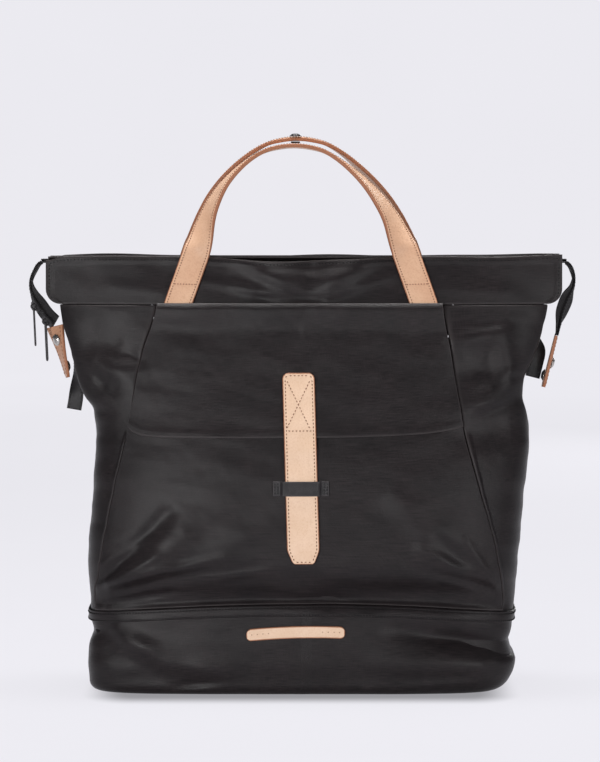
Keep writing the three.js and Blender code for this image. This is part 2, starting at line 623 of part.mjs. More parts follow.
const zipMiddle = [0.35, 0.65].map((share) => ({
  x: mix(LEFT_END, RIGHT_END, share),
  y: 0,
  z: TAPE_LEVEL,
  roll: 0,
}));
const ZIP_ROWS = [...zipEnd(-1, LEFT_END), ...zipMiddle, ...zipEnd(1, RIGHT_END)];
const ZIP_STEPS = 48;
const COIL_LIFT = LAY_GAP; // it clears the tape where the tape twists
const zipTape = () => ribbon(ZIP_ROWS, ZIP_STEPS, TAPE_WIDTH, TAPE_THICK, -TAPE_THICK / 2);
const zipCoil = () => ribbon(ZIP_ROWS, ZIP_STEPS, COIL_WIDTH, COIL_THICK, COIL_LIFT + COIL_THICK / 2);

// Leather tabs on the tape's ends.
function tabRows(side) {
  const name = side < 0 ? "left" : "right";
  const end = side < 0 ? ZIP_ROWS[0] : ZIP_ROWS[ZIP_ROWS.length - 1];
  const rolls = TAB_ROLLS[name];
  return rolls.map((roll, k) => {
    const share = k / (rolls.length - 1);
    const z = end.z - TAB_JOIN[name] - TAB_LENGTH * share;
    return { x: end.x - side * TAB_LEAN * share, y: end.y - TAB_BACK * share, z, roll };
  });
}
const zipTab = (side) => ribbon(tabRows(side), 9, TAB_WIDTH, LEATHER);

// Caps on the tabs: name, place along the tab's rows, and 1 for its outer face or -1 for its
// inner one.
const TAB_CAPS = {
  left: [
    ["rivet", 0.8, 1],
    ["snap", 2.3, -1],
  ],
  right: [
    ["rivet", 1.55, 1],
    ["snap", 2.3, -1],
  ],
};

// Turns a piece made round the origin so that its x, y and z run along three directions.
function place(geometry, origin, x, y, z) {
  return geometry.applyMatrix4(new THREE.Matrix4().makeBasis(x, y, z).setPosition(origin));
}

// Puts a piece on a ribbon: its x along the width, its z outwards from a lift above the middle.
function onRibbon(geometry, rows, at, lift) {
  const frame = ribbonFrame(rows, at);
  const along = new THREE.Vector3().crossVectors(frame.out, frame.width);
  const origin = frame.middle.addScaledVector(frame.out, lift);
  return place(geometry, origin, frame.width, along, frame.out);
}

// Round snap or rivet: a flat rim with a domed cap, standing on its z = 0.
const ROUND_SIDES = 12;
function snap(width, height) {
  const profile = [
    [0, 0],
    [0.5, 0],
    [0.5, 0.3],
    [0.38, 0.75],
    [0.2, 1],
    [0, 1],
  ].map(([across, up]) => new THREE.Vector2(across * width, up * height));
  return new THREE.LatheGeometry(profile, ROUND_SIDES).rotateX(Math.PI / 2);
}

const post = (width, height) =>
  new THREE.CylinderGeometry(width / 2, width / 2, height, ROUND_SIDES)
    .rotateX(Math.PI / 2)
    .translate(0, 0, height / 2);

// Rounded rectangle, wider at one end when asked.
function roundedShape(width, height, corner, taper = 1) {
  const [w, h] = [width / 2, height / 2];
  const shape = new THREE.Shape();
  shape.moveTo(-w + corner, -h);
  shape.lineTo(w - corner, -h);
  shape.quadraticCurveTo(w, -h, w, -h + corner);
  shape.lineTo(w * taper, h - corner);
  shape.quadraticCurveTo(w * taper, h, w * taper - corner, h);
  shape.lineTo(-w * taper + corner, h);
  shape.quadraticCurveTo(-w * taper, h, -w * taper, h - corner);
  shape.lineTo(-w, -h + corner);
  shape.quadraticCurveTo(-w, -h, -w + corner, -h);
  return shape;
}

const plate = (shape, thickness) =>
  new THREE.ExtrudeGeometry(shape, { depth: thickness, bevelEnabled: false, curveSegments: 3 });

// Joins overlapping solids into one.
const wasm = await Module();
wasm.setup();
function join(...parts) {
  const solids = parts.map((part) => {
    const clean = mergeVertices(part.index ? part.toNonIndexed() : part, 1e-4);
    const bare = mergeVertices(
      new THREE.BufferGeometry().setAttribute("position", clean.toNonIndexed().getAttribute("position")),
      1e-4,
    );
    const mesh = new wasm.Mesh({
      numProp: 3,
      vertProperties: new Float32Array(bare.getAttribute("position").array),
      triVerts: new Uint32Array(bare.index.array),
    });
    return new wasm.Manifold(mesh);
  });
  const whole = wasm.Manifold.union(solids).getMesh();
  const geometry = new THREE.BufferGeometry();
  geometry.setAttribute("position", new THREE.BufferAttribute(whole.vertProperties, whole.numProp));
  geometry.setIndex(new THREE.BufferAttribute(whole.triVerts, 1));
  geometry.computeVertexNormals();
  return geometry;
}

// Zip slider with a bridge on top. The pull's wire runs through the bridge.
const BRIDGE_HIGH = SLIDER_THICK;
const BRIDGE_WIDE = 0.35 * SLIDER_WIDTH;
const BRIDGE_LONG = 0.6 * SLIDER_LENGTH;
const BRIDGE_WALL = 1;
const SLIDER_CORNER = 1.5;
function slider() {
  const shape = roundedShape(SLIDER_WIDTH, SLIDER_LENGTH, SLIDER_CORNER, 0.7);
  const body = plate(shape, SLIDER_THICK / 2);
  const arch = new THREE.Shape();
  arch.moveTo(-BRIDGE_LONG / 2, -SLIDER_THICK / 4);
  arch.lineTo(BRIDGE_LONG / 2, -SLIDER_THICK / 4);
  arch.lineTo(BRIDGE_LONG / 2, BRIDGE_HIGH * 0.7);
  arch.lineTo(BRIDGE_LONG / 4, BRIDGE_HIGH);
  arch.lineTo(-BRIDGE_LONG / 4, BRIDGE_HIGH);
  arch.lineTo(-BRIDGE_LONG / 2, BRIDGE_HIGH * 0.7);
  const hole = new THREE.Path();
  const [wide, high] = [BRIDGE_LONG / 2 - BRIDGE_WALL, BRIDGE_HIGH - BRIDGE_WALL];
  const floor = 0.05 * high;
  hole.moveTo(-wide, floor);
  hole.lineTo(-wide, high * 0.8);
  hole.lineTo(0, high);
  hole.lineTo(wide, high * 0.8);
  hole.lineTo(wide, floor);
  arch.holes.push(hole);
  const bridge = plate(arch, BRIDGE_WIDE);
  bridge.translate(0, 0, -BRIDGE_WIDE / 2);
  bridge.applyMatrix4(
    new THREE.Matrix4().makeBasis(
      new THREE.Vector3(0, 1, 0),
      new THREE.Vector3(0, 0, 1),
      new THREE.Vector3(1, 0, 0),
    ),
  );
  bridge.translate(0, 0, SLIDER_THICK / 2);
  return join(body, bridge);
}
const SLIDER_LIFT = COIL_LIFT + COIL_THICK + GAP;
const BRIDGE_LIFT = SLIDER_LIFT + SLIDER_THICK / 2 + 0.45 * BRIDGE_HIGH;

// Long wire loop that hangs from a slider's bridge.
const PULL_STEPS = 16;
const WIRE_SIDES = 6;
function pull(rows, at) {
  const frame = ribbonFrame(rows, at);
  const top = frame.middle.addScaledVector(frame.out, BRIDGE_LIFT);
  const down = new THREE.Vector3(0, 0, -1);
  down.addScaledVector(frame.width, -PULL_TURN * down.dot(frame.width)).normalize();
  const wide = new THREE.Vector3().crossVectors(down, frame.out).normalize();
  const out = new THREE.Vector3().crossVectors(wide, down);
  const [r, straight] = [PULL_WIDTH / 2, PULL_LENGTH - PULL_WIDTH];
  const centre = (k) => {
    const half = PULL_STEPS / 2;
    const turn = Math.PI * ((k % half) / (half - 1));
    const low = k >= half;
    const across = (low ? 1 : -1) * r * Math.cos(turn);
    const depth = low ? straight + r * Math.sin(turn) : -r * Math.sin(turn);
    const along = new THREE.Vector3().addScaledVector(wide, across).addScaledVector(down, depth);
    const bow = new THREE.Vector3()
      .addScaledVector(wide, across)
      .addScaledVector(down, low ? depth - straight : depth)
      .normalize();
    return { point: top.clone().add(along).addScaledVector(down, r), bow };
  };
  return rings(
    PULL_STEPS,
    (k) => {
      const { point, bow } = centre(k);
      return Array.from({ length: WIRE_SIDES }, (_, i) => {
        const a = (2 * Math.PI * i) / WIRE_SIDES;
        return point
          .clone()
          .addScaledVector(bow, (Math.cos(a) * PULL_WIRE) / 2)
          .addScaledVector(out, (Math.sin(a) * PULL_WIRE) / 2);
      });
    },
    true,
  );
}

// Short black straps on the sides, which the zip's tabs snap to. inward, back and up are
// shares of a tab's length, from its lower end; roll turns the strap's face.
const SIDE_STRAP_ROWS = {
  left: [
    { inward: 0.042, back: 0.3, up: 0.98, roll: -180 },
    { inward: 0.052, back: 0.31, up: 0.78, roll: -180 },
    { inward: 0.097, back: 0.33, up: 0.44, roll: -176 },
    { inward: 0.138, back: 0.29, up: 0.12, roll: -160 },
    { inward: 0.15, back: 0.23, up: -0.16, roll: -125 },
    { inward: 0.14, back: 0.19, up: -0.4, roll: -97 },
    { inward: 0.1, back: 0.19, up: -0.64, roll: -92 },
  ],
  right: [
    { inward: 0.12, back: 0.26, up: 1.1, roll: 0 },
    { inward: 0.1, back: 0.25, up: 0.96, roll: -16 },
    { inward: 0.07, back: 0.2, up: 0.7, roll: -62 },
    { inward: 0.13, back: 0.17, up: 0.45, roll: -78 },
    { inward: 0.2, back: 0.16, up: 0.18, roll: -82 },
  ],
};
function sideStrapRows(side) {
  const end = tabRows(side)[3];
  return SIDE_STRAP_ROWS[side < 0 ? "left" : "right"].map((row) => ({
    x: end.x - side * row.inward * TAB_LENGTH,
    y: end.y + row.back * TAB_LENGTH,
    z: end.z + row.up * TAB_LENGTH,
    roll: row.roll,
  }));
}
const sideStrap = (side) => ribbon(sideStrapRows(side), 10, SIDE_STRAP_WIDTH, SIDE_STRAP_THICK);

// Handles. out: share of the spread of the feet. up: share of the rise from foot to crown.
// lean: share of the way from the foot's depth to the crown's. turn: from facing the
// front to facing up.
const HANDLE_ROWS = [
  { out: 1.035, up: 0.0, turn: -88 },
  { out: 1.011, up: 0.058, turn: -87 },
  { out: 0.943, up: 0.2, turn: -87 },
  { out: 0.874, up: 0.343, turn: -86 },
  { out: 0.84, up: 0.408, turn: -66, lean: 0.06 },
  { out: 0.773, up: 0.55, turn: -38, lean: 0.42 },
  { out: 0.688, up: 0.67, turn: -24, lean: 0.66 },
  { out: 0.572, up: 0.784, turn: -12, lean: 0.84 },
  { out: 0.418, up: 0.89, turn: -4, lean: 0.96 },
  { out: 0.264, up: 0.962, turn: 0, lean: 1 },
  { out: 0.13, up: 0.991, turn: 2, lean: 1 },
  { out: 0, up: 1, turn: 2, lean: 1 },
];
const HANDLE_FOOT = YOKE_BOTTOM - HANDLE_TUCK;
const CROWN_DEPTH = 10.8; // the crowns stand this far before and behind the middle
const DRIFT_OVER = 0.9; // share of the rise over which the drift sets in
// How the two handles differ. spread: share of the feet's spread. drift: how far the crown
// leans to the right. higher: how far the crown lies above the front one's.
const HANDLES = {
  front: { spread: 1, drift: -6.5, higher: 0 },
  back: { spread: 1.02, drift: -4, higher: CROWN_STEP },
};
function handleRows(facing) {
  const { spread, drift, higher } = facing < 0 ? HANDLES.front : HANDLES.back;
  const crown = BODY_HEIGHT + HANDLE_RISE + higher;
  const clear = WRAP_GAP + HANDLE_THICK / 2;
  const half = HANDLE_ROWS.map((row) => {
    const x = -HANDLE_SPREAD * spread * row.out;
    const z = mix(HANDLE_FOOT, crown, row.up);
    const sewn = yokeDepth(x, Math.min(z, BODY_HEIGHT)) + clear;
    const depth = row.lean === undefined ? sewn : mix(sewn, CROWN_DEPTH, row.lean);
    return { x, y: facing * depth, z, roll: -facing * row.turn };
  });
  const mirrored = half.slice(0, -1).map((row) => ({ ...row, x: -row.x }));
  const lean = (row) => drift * smooth((row.z - BODY_HEIGHT) / (DRIFT_OVER * HANDLE_RISE));
  return [...half, ...mirrored.reverse()].map((row) => ({ ...row, x: row.x + lean(row) }));
}
const HANDLE_STEPS = 40;
const handle = (facing) => ribbon(handleRows(facing), HANDLE_STEPS, HANDLE_WIDTH, HANDLE_THICK);

const CROWN_FRONT = BODY_HEIGHT + HANDLE_RISE;
const CROWN_BACK = CROWN_FRONT + CROWN_STEP;
const CROWN_X = (HANDLES.front.drift + HANDLES.back.drift) / 2;
const crownStud = () =>
  post(SNAP_WIDTH * 0.8, CROWN_STEP - HANDLE_THICK - 2 * CROWN_GAP).translate(
    CROWN_X,
    0,
    CROWN_FRONT + HANDLE_THICK / 2 + CROWN_GAP,
  );
const crownCap = () =>
  snap(SNAP_WIDTH, SNAP_HEIGHT).translate(CROWN_X, 0, CROWN_BACK + HANDLE_THICK / 2 + CAP_GAP);

// Strips that lie on the middle of the front, from one height to another.
function frontStrip(levels, edges, lift, thickness) {
  return sheet(edges(levels[0], 0).length - 1, levels.length - 1, (i, j, face) => {
    const z = levels[j];
    const x = edges(z, j)[i];
    return skin(stationAt(x, z), z, lift(z, i) + face * thickness);
  });
}
const ON_POCKET = GAP + CLOTH + LAY_GAP; // lift of a piece that lies on the pocket
const ON_FLAP = FLAP_OFFSET + CLOTH + LAY_GAP;
const strapLift = (z) =>
  mix(ON_POCKET, ON_FLAP, smooth((z - FLAP_BOTTOM + 1.3 * STRAP_STEP) / STRAP_STEP));
function closureStrap() {
  const straight = evenly(STRAP_BOTTOM + 0.1 * STRAP_LENGTH, STRAP_TOP, 14);
  const levels = [STRAP_BOTTOM, STRAP_BOTTOM + STRAP_TIP, ...straight];
  const tipShares = [0.68, 0.92];
  const edges = (z, j) => {
    const centre = mix(STRAP_DRIFT, -STRAP_DRIFT, (z - STRAP_BOTTOM) / STRAP_LENGTH);
    const half = (STRAP_WIDTH / 2) * (tipShares[j] ?? 1);
    return [centre - half, centre, centre + half];
  };
  return frontStrip(levels, edges, strapLift, LEATHER);
}

// Keeper: a short strip that bridges the strap, sewn down at both ends.
function keeper() {
  const shares = [-1, -0.72, -0.63, 0, 0.63, 0.72, 1];
  const levels = [KEEPER_AT - KEEPER_HEIGHT / 2, KEEPER_AT + KEEPER_HEIGHT / 2];
  const edges = () => shares.map((share) => (share * KEEPER_WIDTH) / 2);
  const bridges = (i) => Math.abs(shares[i]) < 0.7;
  const lift = (z, i) => (bridges(i) ? strapLift(z) + LEATHER + SEAM_GAP : ON_POCKET);
  return frontStrip(levels, edges, lift, KEEPER_THICK);
}

// Bare leather plate on the base, with rounded ends.
function namePlate() {
  const shares = [-1, -0.96, -0.85, -0.4, 0, 0.4, 0.85, 0.96, 1];
  return sheet(shares.length - 1, 2, (i, j, face) => {
    const a = Math.abs(shares[i]);
    const half = (PLATE_HEIGHT / 2) * (a === 1 ? 0.4 : a > 0.9 ? 0.8 : 1);
    const x = PLATE_SHIFT + (shares[i] * PLATE_WIDTH) / 2;
    const bow = PLATE_BOW * (0.5 - a * a) + PLATE_TILT * shares[i];
    const z = PLATE_AT + bow + half * (j - 1);
    return skin(stationAt(x, z), z, LAY_GAP + face * PLATE_THICK);
  });
}

// Shoulder straps. out: from the middle of the back, as a share of the spread.
// down: share of the way from top to bottom. bow: share of the clear space behind.
const PAD_ROWS = [
  { out: 1.0, down: 0.0, bow: 0, thick: 0.35 },
  { out: 1.04, down: 0.1, bow: 0.32, thick: 0.7 },
  { out: 1.14, down: 0.26, bow: 0.78, thick: 1 },
  { out: 1.38, down: 0.5, bow: 1, thick: 1 },
  { out: 1.75, down: 0.75, bow: 0.8, thick: 1 },
  { out: 2.05, down: 0.93, bow: 0.4, thick: 0.75 },
  { out: 2.17, down: 1.0, bow: 0.22, thick: 0.4 },
];
function backPoint(x, z, offset) {
  const station = stationAt(x, z);
  return skin(Math.sign(x || 1) * 4 - station, z, offset);
}
function padRows(side) {
  return PAD_ROWS.map((row) => {
    const z = mix(PAD_TOP, PAD_BOTTOM, row.down);
    const thickness = row.thick * PAD_THICK;
    const x = side * PAD_SPREAD * row.out;
    const y = backPoint(x, z, WRAP_GAP).y + thickness / 2 + row.bow * PAD_BOW;
    return { x, y, z, roll: 90, thickness };
  });
}
function shoulderPad(side) {
  const rows = padRows(side);
  const steps = 16;
  return sheet(2, steps, (i, j, face) => {
    const at = ((rows.length - 1) * j) / steps;
    const frame = ribbonFrame(rows, at);
    const thickness = alongRows(rows, "thickness", at) * (i === 1 ? 1 : 0.6);
    const narrow = j === 0 || j === steps ? 0.8 : 1;
    return frame.middle
      .addScaledVector(frame.width, ((i - 1) / 2) * PAD_WIDTH * narrow)
      .addScaledVector(frame.out, (0.5 - face) * thickness);
  });
}

// Webbing from a pad's lower end down to the base seam.
function webbingRows(side) {
  const end = padRows(side)[PAD_ROWS.length - 1];
  const low = BASE_HEIGHT + WEBBING_FOOT * BAND_HEIGHT;
  const x = side * PAD_SPREAD * 2.45;
  const lowest = { x, y: backPoint(x, low, WRAP_GAP).y + WEBBING_THICK / 2, z: low, roll: 90 };
  const start = { ...end, z: end.z - 2 * SEAM_GAP };
  const middle = {
    x: mix(start.x, lowest.x, 0.6),
    y: mix(start.y, lowest.y, 0.72) + WEBBING_THICK,
    z: mix(start.z, lowest.z, 0.5),
    roll: 90,
  };
  return [start, middle, lowest];
}
const webbing = (side) => ribbon(webbingRows(side), 8, WEBBING_WIDTH, WEBBING_THICK);

// Slide on the webbing: a plate with two slots.
function adjuster() {
  const shape = roundedShape(ADJUSTER_WIDTH, ADJUSTER_HEIGHT, 0.14 * ADJUSTER_HEIGHT);
  const slot = { width: 1.04 * WEBBING_WIDTH, height: 0.18 * ADJUSTER_HEIGHT };
  for (const up of [-1, 1]) {
    const hole = new THREE.Path();
    const [w, h, y] = [slot.width / 2, slot.height / 2, up * 0.22 * ADJUSTER_HEIGHT];
    hole.moveTo(-w, y - h);
    hole.lineTo(-w, y + h);
    hole.lineTo(w, y + h);
    hole.lineTo(w, y - h);
    shape.holes.push(hole);
  }
  return plate(shape, ADJUSTER_THICK);
}

// Band across the back, above both shoulder straps, which hang from its lower edge.
function backAnchor() {
  const columns = 6;
  const low = PAD_TOP + ANCHOR_LIFT;
  return sheet(columns, 1, (i, j, face) => {
    const x = (ANCHOR_WIDTH / 2) * ((2 * i) / columns - 1);
    const lift = LAY_GAP + face * ANCHOR_THICK;
    return backPoint(x, low + ANCHOR_HEIGHT * j, lift);
  });
}

add("base_panel", baseCup(), canvas);
add("seam_band", seamBand(), canvas);
add("front_panel", frontPanel(), canvas);
add("back_panel", backPanel(), canvas);
add("pocket_panel", pocketPanel(), canvas);
add("flap", flapPanel(), canvas);
add("yoke_front", yoke(-1), canvas);
add("yoke_back", yoke(1), canvas);
add("handle_front", handle(-1), leather);
add("handle_back", handle(1), leather);
add("handle_stud", crownStud(), darkMetal);
add("handle_cap", crownCap(), darkMetal);
add("closure_strap", closureStrap(), leather);
add("strap_keeper", keeper(), blackLeather);
add("name_plate", namePlate(), leather);
add("zip_tape", zipTape(), tapeCloth);
add("zip_coil", zipCoil(), plastic);
add("zip_gusset_front", zipGusset(-1), canvas);
add("zip_gusset_back", zipGusset(1), canvas);
SLIDER_PLACES.forEach((at, k) => {
  add(`zip_slider_${k + 1}`, onRibbon(slider(), ZIP_ROWS, at, SLIDER_LIFT), darkMetal);
  add(`zip_pull_${k + 1}`, pull(ZIP_ROWS, at), darkMetal);
});
for (const side of [-1, 1]) {
  const name = side < 0 ? "left" : "right";
  const tab = tabRows(side);
  add(`side_panel_${name}`, sidePanel(side), canvas);
  add(`gusset_top_${name}`, gussetTop(side), canvas);
  add(`zip_tab_${name}`, zipTab(side), leather);
  for (const [part, at, face] of TAB_CAPS[name]) {
    const cap = snap(SNAP_WIDTH, SNAP_HEIGHT).rotateX(face > 0 ? 0 : Math.PI);
    const lift = face * (LEATHER / 2 + LAY_GAP);
    add(`tab_${part}_${name}`, onRibbon(cap, tab, at, lift), steel);
  }
  add(`side_strap_${name}`, sideStrap(side), blackLeather);
  add(`shoulder_pad_${name}`, shoulderPad(side), canvas);
  add(`strap_webbing_${name}`, webbing(side), tapeCloth);
  add(
    `strap_adjuster_${name}`,
    onRibbon(adjuster(), webbingRows(side), 0.6, WEBBING_THICK / 2 + LAY_GAP),
    plastic,
  );
}
add("back_anchor", backAnchor(), blackLeather);

export default bag;
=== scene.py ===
import math

import bpy
import numpy as np
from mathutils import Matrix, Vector


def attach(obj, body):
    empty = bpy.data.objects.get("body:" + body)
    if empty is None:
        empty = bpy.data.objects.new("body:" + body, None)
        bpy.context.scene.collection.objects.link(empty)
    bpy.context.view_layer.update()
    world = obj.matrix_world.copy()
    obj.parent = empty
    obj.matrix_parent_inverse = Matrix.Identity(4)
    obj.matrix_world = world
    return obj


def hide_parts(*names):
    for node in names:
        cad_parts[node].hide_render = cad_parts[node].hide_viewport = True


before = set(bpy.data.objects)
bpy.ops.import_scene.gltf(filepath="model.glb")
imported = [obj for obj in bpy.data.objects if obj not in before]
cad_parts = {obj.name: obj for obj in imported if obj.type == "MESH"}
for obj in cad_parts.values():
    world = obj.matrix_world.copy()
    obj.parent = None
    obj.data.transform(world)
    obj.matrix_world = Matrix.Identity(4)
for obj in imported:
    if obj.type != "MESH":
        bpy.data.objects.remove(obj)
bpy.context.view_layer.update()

# A convertible backpack in black coated canvas, with natural leather handles and a zip top.
# Lengths are in millimetres, and make_piece turns them into metres.
MM = 0.001

# Sizes of the bag
BASE_WIDTH = 402
BASE_DEPTH = 140
BASE_HEIGHT = 71
BASE_EDGE = {"left": 9, "right": 20}
BODY_HEIGHT = 411
TOP_WIDTH = 486.7
TOP_SHIFT = 2.8
YOKE_HEIGHT = 47
YOKE_CORNER = 14
SEAM_ARCH = 9.5
CLOTH = 2
GAP = 0.3
SEAM_GAP = 0.6
GUSSET_FOLD = 20
FOLD_REACH = 0.6
GUSSET_START = 0.6  # share of the body's height at which the sides begin to fold in
GUSSET_RISE = 0.16
LAY_GAP = 0.8
WRAP_GAP = 1.1
FLAP_CORNER_LIFT = 10
FLAP_CORNER_REACH = 40
FLAP_ROLL = 5.4
FLAP_ROLL_REACH = 26
RIM_WIDTH = 7
RIM_PROUD = 2.6
RIM_FADE = 12  # height over which it comes up from the base and goes down at the flap
BAND_HEIGHT = 10.5
BAND_THICK = 1
BAND_LIFT = 0.95
BACK_SEAM = 3.35
SIDE_GIRTH = 235
BACK_GIRTH = 285
HEM = 5.5  # width of a turned and stitched edge
HEM_HIGH = 0.45  # what its second layer adds
HEM_FADE = 1.4
FLAP_OVER = 2  # the flap's fold lies this far over the top band's lower edge
FLAP_LENGTH = 124
POCKET_TUCK = 36  # the pocket's edge lies this far below the flap's fold

# Leather
STRAP_WIDTH = 30
STRAP_LENGTH = 177
STRAP_BELOW = 64  # the strap's top lies this far below the flap's fold
STRAP_CORNER = 6
STRAP_TIP = 5
STRAP_STEP = 20
STRAP_DRIFT = 2.5
LEATHER = 2.8
KEEPER_WIDTH = 52
KEEPER_HEIGHT = 13.5
KEEPER_THICK = 1.4
KEEPER_BELOW = 46  # from the flap's lower edge to its middle
PLATE_WIDTH = 92
PLATE_HEIGHT = 10
PLATE_AT = 51.8
PLATE_SHIFT = -5
PLATE_THICK = 1.8
PLATE_BOW = 1.2
PLATE_TILT = 1
PLATE_CORNER = 4.6
PLATE_HOLES = (25.2, 30.4, 35.8, 41)  # from the plate's middle
PLATE_HOLE = 1.1
HANDLE_WIDTH = 25.5
HANDLE_THICK = 3.6
HANDLE_SPREAD = 113
HANDLE_RISE = 101.5
HANDLE_TUCK = 6
CROWN_STEP = 7
CAP_GAP = 0.4
CROWN_DEPTH = 10.8
DRIFT_OVER = 0.9

# Zip
TAPE_WIDTH = 26
TAPE_THICK = 1.2
TAPE_DROP = 7
COIL_WIDTH = 5.5
COIL_THICK = 1.8
ZIP_REACH = 16
TAPE_FALL = 1.34  # the tape's ends come down by this share of the top band
SLIDER_PLACES = (2.05, 0.65)  # places of the two sliders along the zip's rows
TAB_WIDTH = 20
TAB_LENGTH = 48.5
TAB_JOIN = {"left": 3, "right": 0.6}
TAB_LEAN = 12
TAB_BACK = 2.1
GUSSET_LAP = 3
ZIP_GUSSET_WIDE = 12
SLIDER_THICK = 4
PULL_LENGTH = 36
PULL_WIDTH = 5.6
PULL_WIRE = 1.7
PULL_TURN = 0.3
PULL_YAW = -25  # degrees that a pull has turned about its own length
SNAP_WIDTH = 11
SNAP_HEIGHT = 2.6
SIDE_STRAP_WIDTH = 14
SIDE_STRAP_THICK = 1.8

# Shoulder straps
PAD_WIDTH = 58
PAD_THICK = 10
PAD_BOW = 34
PAD_SPREAD = 48
PAD_DROP = 28
PAD_LENGTH = 198
WEBBING_WIDTH = 24
WEBBING_THICK = 1.6
WEBBING_FOOT = 1.5  # its foot's height over the base seam, as a share of the seam band
ANCHOR_WIDTH = 176
ANCHOR_HEIGHT = 22
ANCHOR_THICK = 3
ANCHOR_LIFT = 3

YOKE_BOTTOM = BODY_HEIGHT - YOKE_HEIGHT
FLAP_TOP = YOKE_BOTTOM + FLAP_OVER
FLAP_BOTTOM = FLAP_TOP - FLAP_LENGTH
POCKET_TOP = FLAP_TOP - POCKET_TUCK
STRAP_TOP = FLAP_TOP - STRAP_BELOW
STRAP_BOTTOM = STRAP_TOP - STRAP_LENGTH
KEEPER_AT = FLAP_BOTTOM - KEEPER_BELOW
PAD_TOP = YOKE_BOTTOM - PAD_DROP
HALF_WIDTH = BASE_WIDTH / 2
HALF_DEPTH = BASE_DEPTH / 2
FLARE = (TOP_WIDTH - BASE_WIDTH) / 2
LOWEST = BASE_HEIGHT + SEAM_GAP / 2
BODY_TOP = YOKE_BOTTOM - SEAM_GAP / 2
BASE_TOP = BASE_HEIGHT - SEAM_GAP / 2
POCKET_LOW = BASE_HEIGHT + BAND_HEIGHT / 2 + SEAM_GAP
FLAP_OFFSET = GAP + CLOTH + GAP

# Cross sections. up: share of the body's height. left, right: share of the flare added to
# the half width. front, back: share of the half depth. square: 2 is an ellipse.
SECTION_NAMES = ("up", "left", "right", "front", "back", "square")
SECTIONS = [
    (0.03, 0.0, -0.02, 0.97, 0.97, 5.0),
    (0.07, 0.02, 0.06, 1.0, 1.0, 5.0),
    (0.1, 0.0, -0.08, 1.0, 1.0, 4.9),
    (0.135, -0.09, -0.02, 0.98, 0.985, 4.8),
    (0.165, -0.03, 0.0, 0.97, 0.98, 4.7),
    (0.205, -0.04, 0.02, 0.97, 0.98, 4.6),
    (0.3, 0.01, 0.105, 1.19, 1.04, 4.3),
    (0.46, -0.105, 0.245, 1.1, 1.02, 4.0),
    (0.585, -0.165, 0.37, 0.95, 0.93, 3.8),
    (0.642, -0.075, 0.34, 0.87, 0.87, 3.7),
    (0.676, 0.17, 0.28, 0.82, 0.82, 3.7),
    (0.71, 0.35, 0.335, 0.77, 0.78, 3.6),
    (0.775, 0.52, 0.635, 0.68, 0.68, 3.5),
    (0.852, 0.75, 0.86, 0.57, 0.57, 3.4),
    (0.886, 0.805, 0.92, 0.52, 0.52, 3.4),
    (1.0, 0.96, 1.08, 0.34, 0.34, 3.2),
]

# The sloping side lines of the pocket and flap: shares of the half base width.
LINE_NAMES = ("up", "left", "right")
SIDE_LINES = [
    (0.16, 0.963, 0.95),
    (0.2, 0.955, 0.94),
    (0.255, 0.942, 0.925),
    (0.345, 0.912, 0.893),
    (0.47, 0.862, 0.824),
    (0.6, 0.803, 0.757),
    (0.77, 0.742, 0.7),
    (0.9, 0.67, 0.66),
]

# Folds and dents of the front, each along a line. x and to_x: share of the half base width.
# up and to_up: share of the body's height. wide: share of the half width. high: share of
# the half depth, below 0 for a dent.
FOLD_NAMES = ("x", "up", "to_x", "to_up", "wide", "high")
FOLDS = [
    (0.71, 0.805, 0.93, 0.823, 0.045, 0.05),
    (0.93, 0.817, 0.97, 0.715, 0.05, 0.06),
    (0.96, 0.703, 0.75, 0.65, 0.055, 0.06),
    (0.78, 0.74, 0.9, 0.757, 0.075, -0.07),
    (0.78, 0.6, 0.98, 0.61, 0.09, -0.06),
    (-0.95, 0.8, -0.83, 0.79, 0.08, -0.06),
    (-0.95, 0.762, -0.79, 0.718, 0.05, 0.05),
    (-0.98, 0.71, -0.9, 0.695, 0.05, -0.06),
    (-0.91, 0.263, -0.62, 0.416, 0.04, -0.045),
    (-0.87, 0.242, -0.55, 0.37, 0.07, 0.05),
    (-0.7, 0.218, 0.13, 0.205, 0.05, -0.09),
    (0.13, 0.205, 0.8, 0.218, 0.075, -0.09),
    (0.64, 0.348, 0.85, 0.246, 0.045, -0.045),
    (0.46, 0.45, 0.78, 0.28, 0.07, 0.04),
    (0.43, 0.134, 0.95, 0.107, 0.05, -0.08),
    (0.36, 0.07, 0.82, 0.062, 0.05, 0.035),
    (-0.85, 0.135, -0.62, 0.066, 0.045, 0.05),
    (-0.91, 0.134, -0.86, 0.088, 0.07, -0.04),
    (-0.28, 0.985, -0.01, 0.92, 0.055, 0.04),
    (0.3, 0.98, 0.08, 0.915, 0.055, 0.04),
    (0.05, 0.985, 0.04, 0.95, 0.06, -0.04),
]

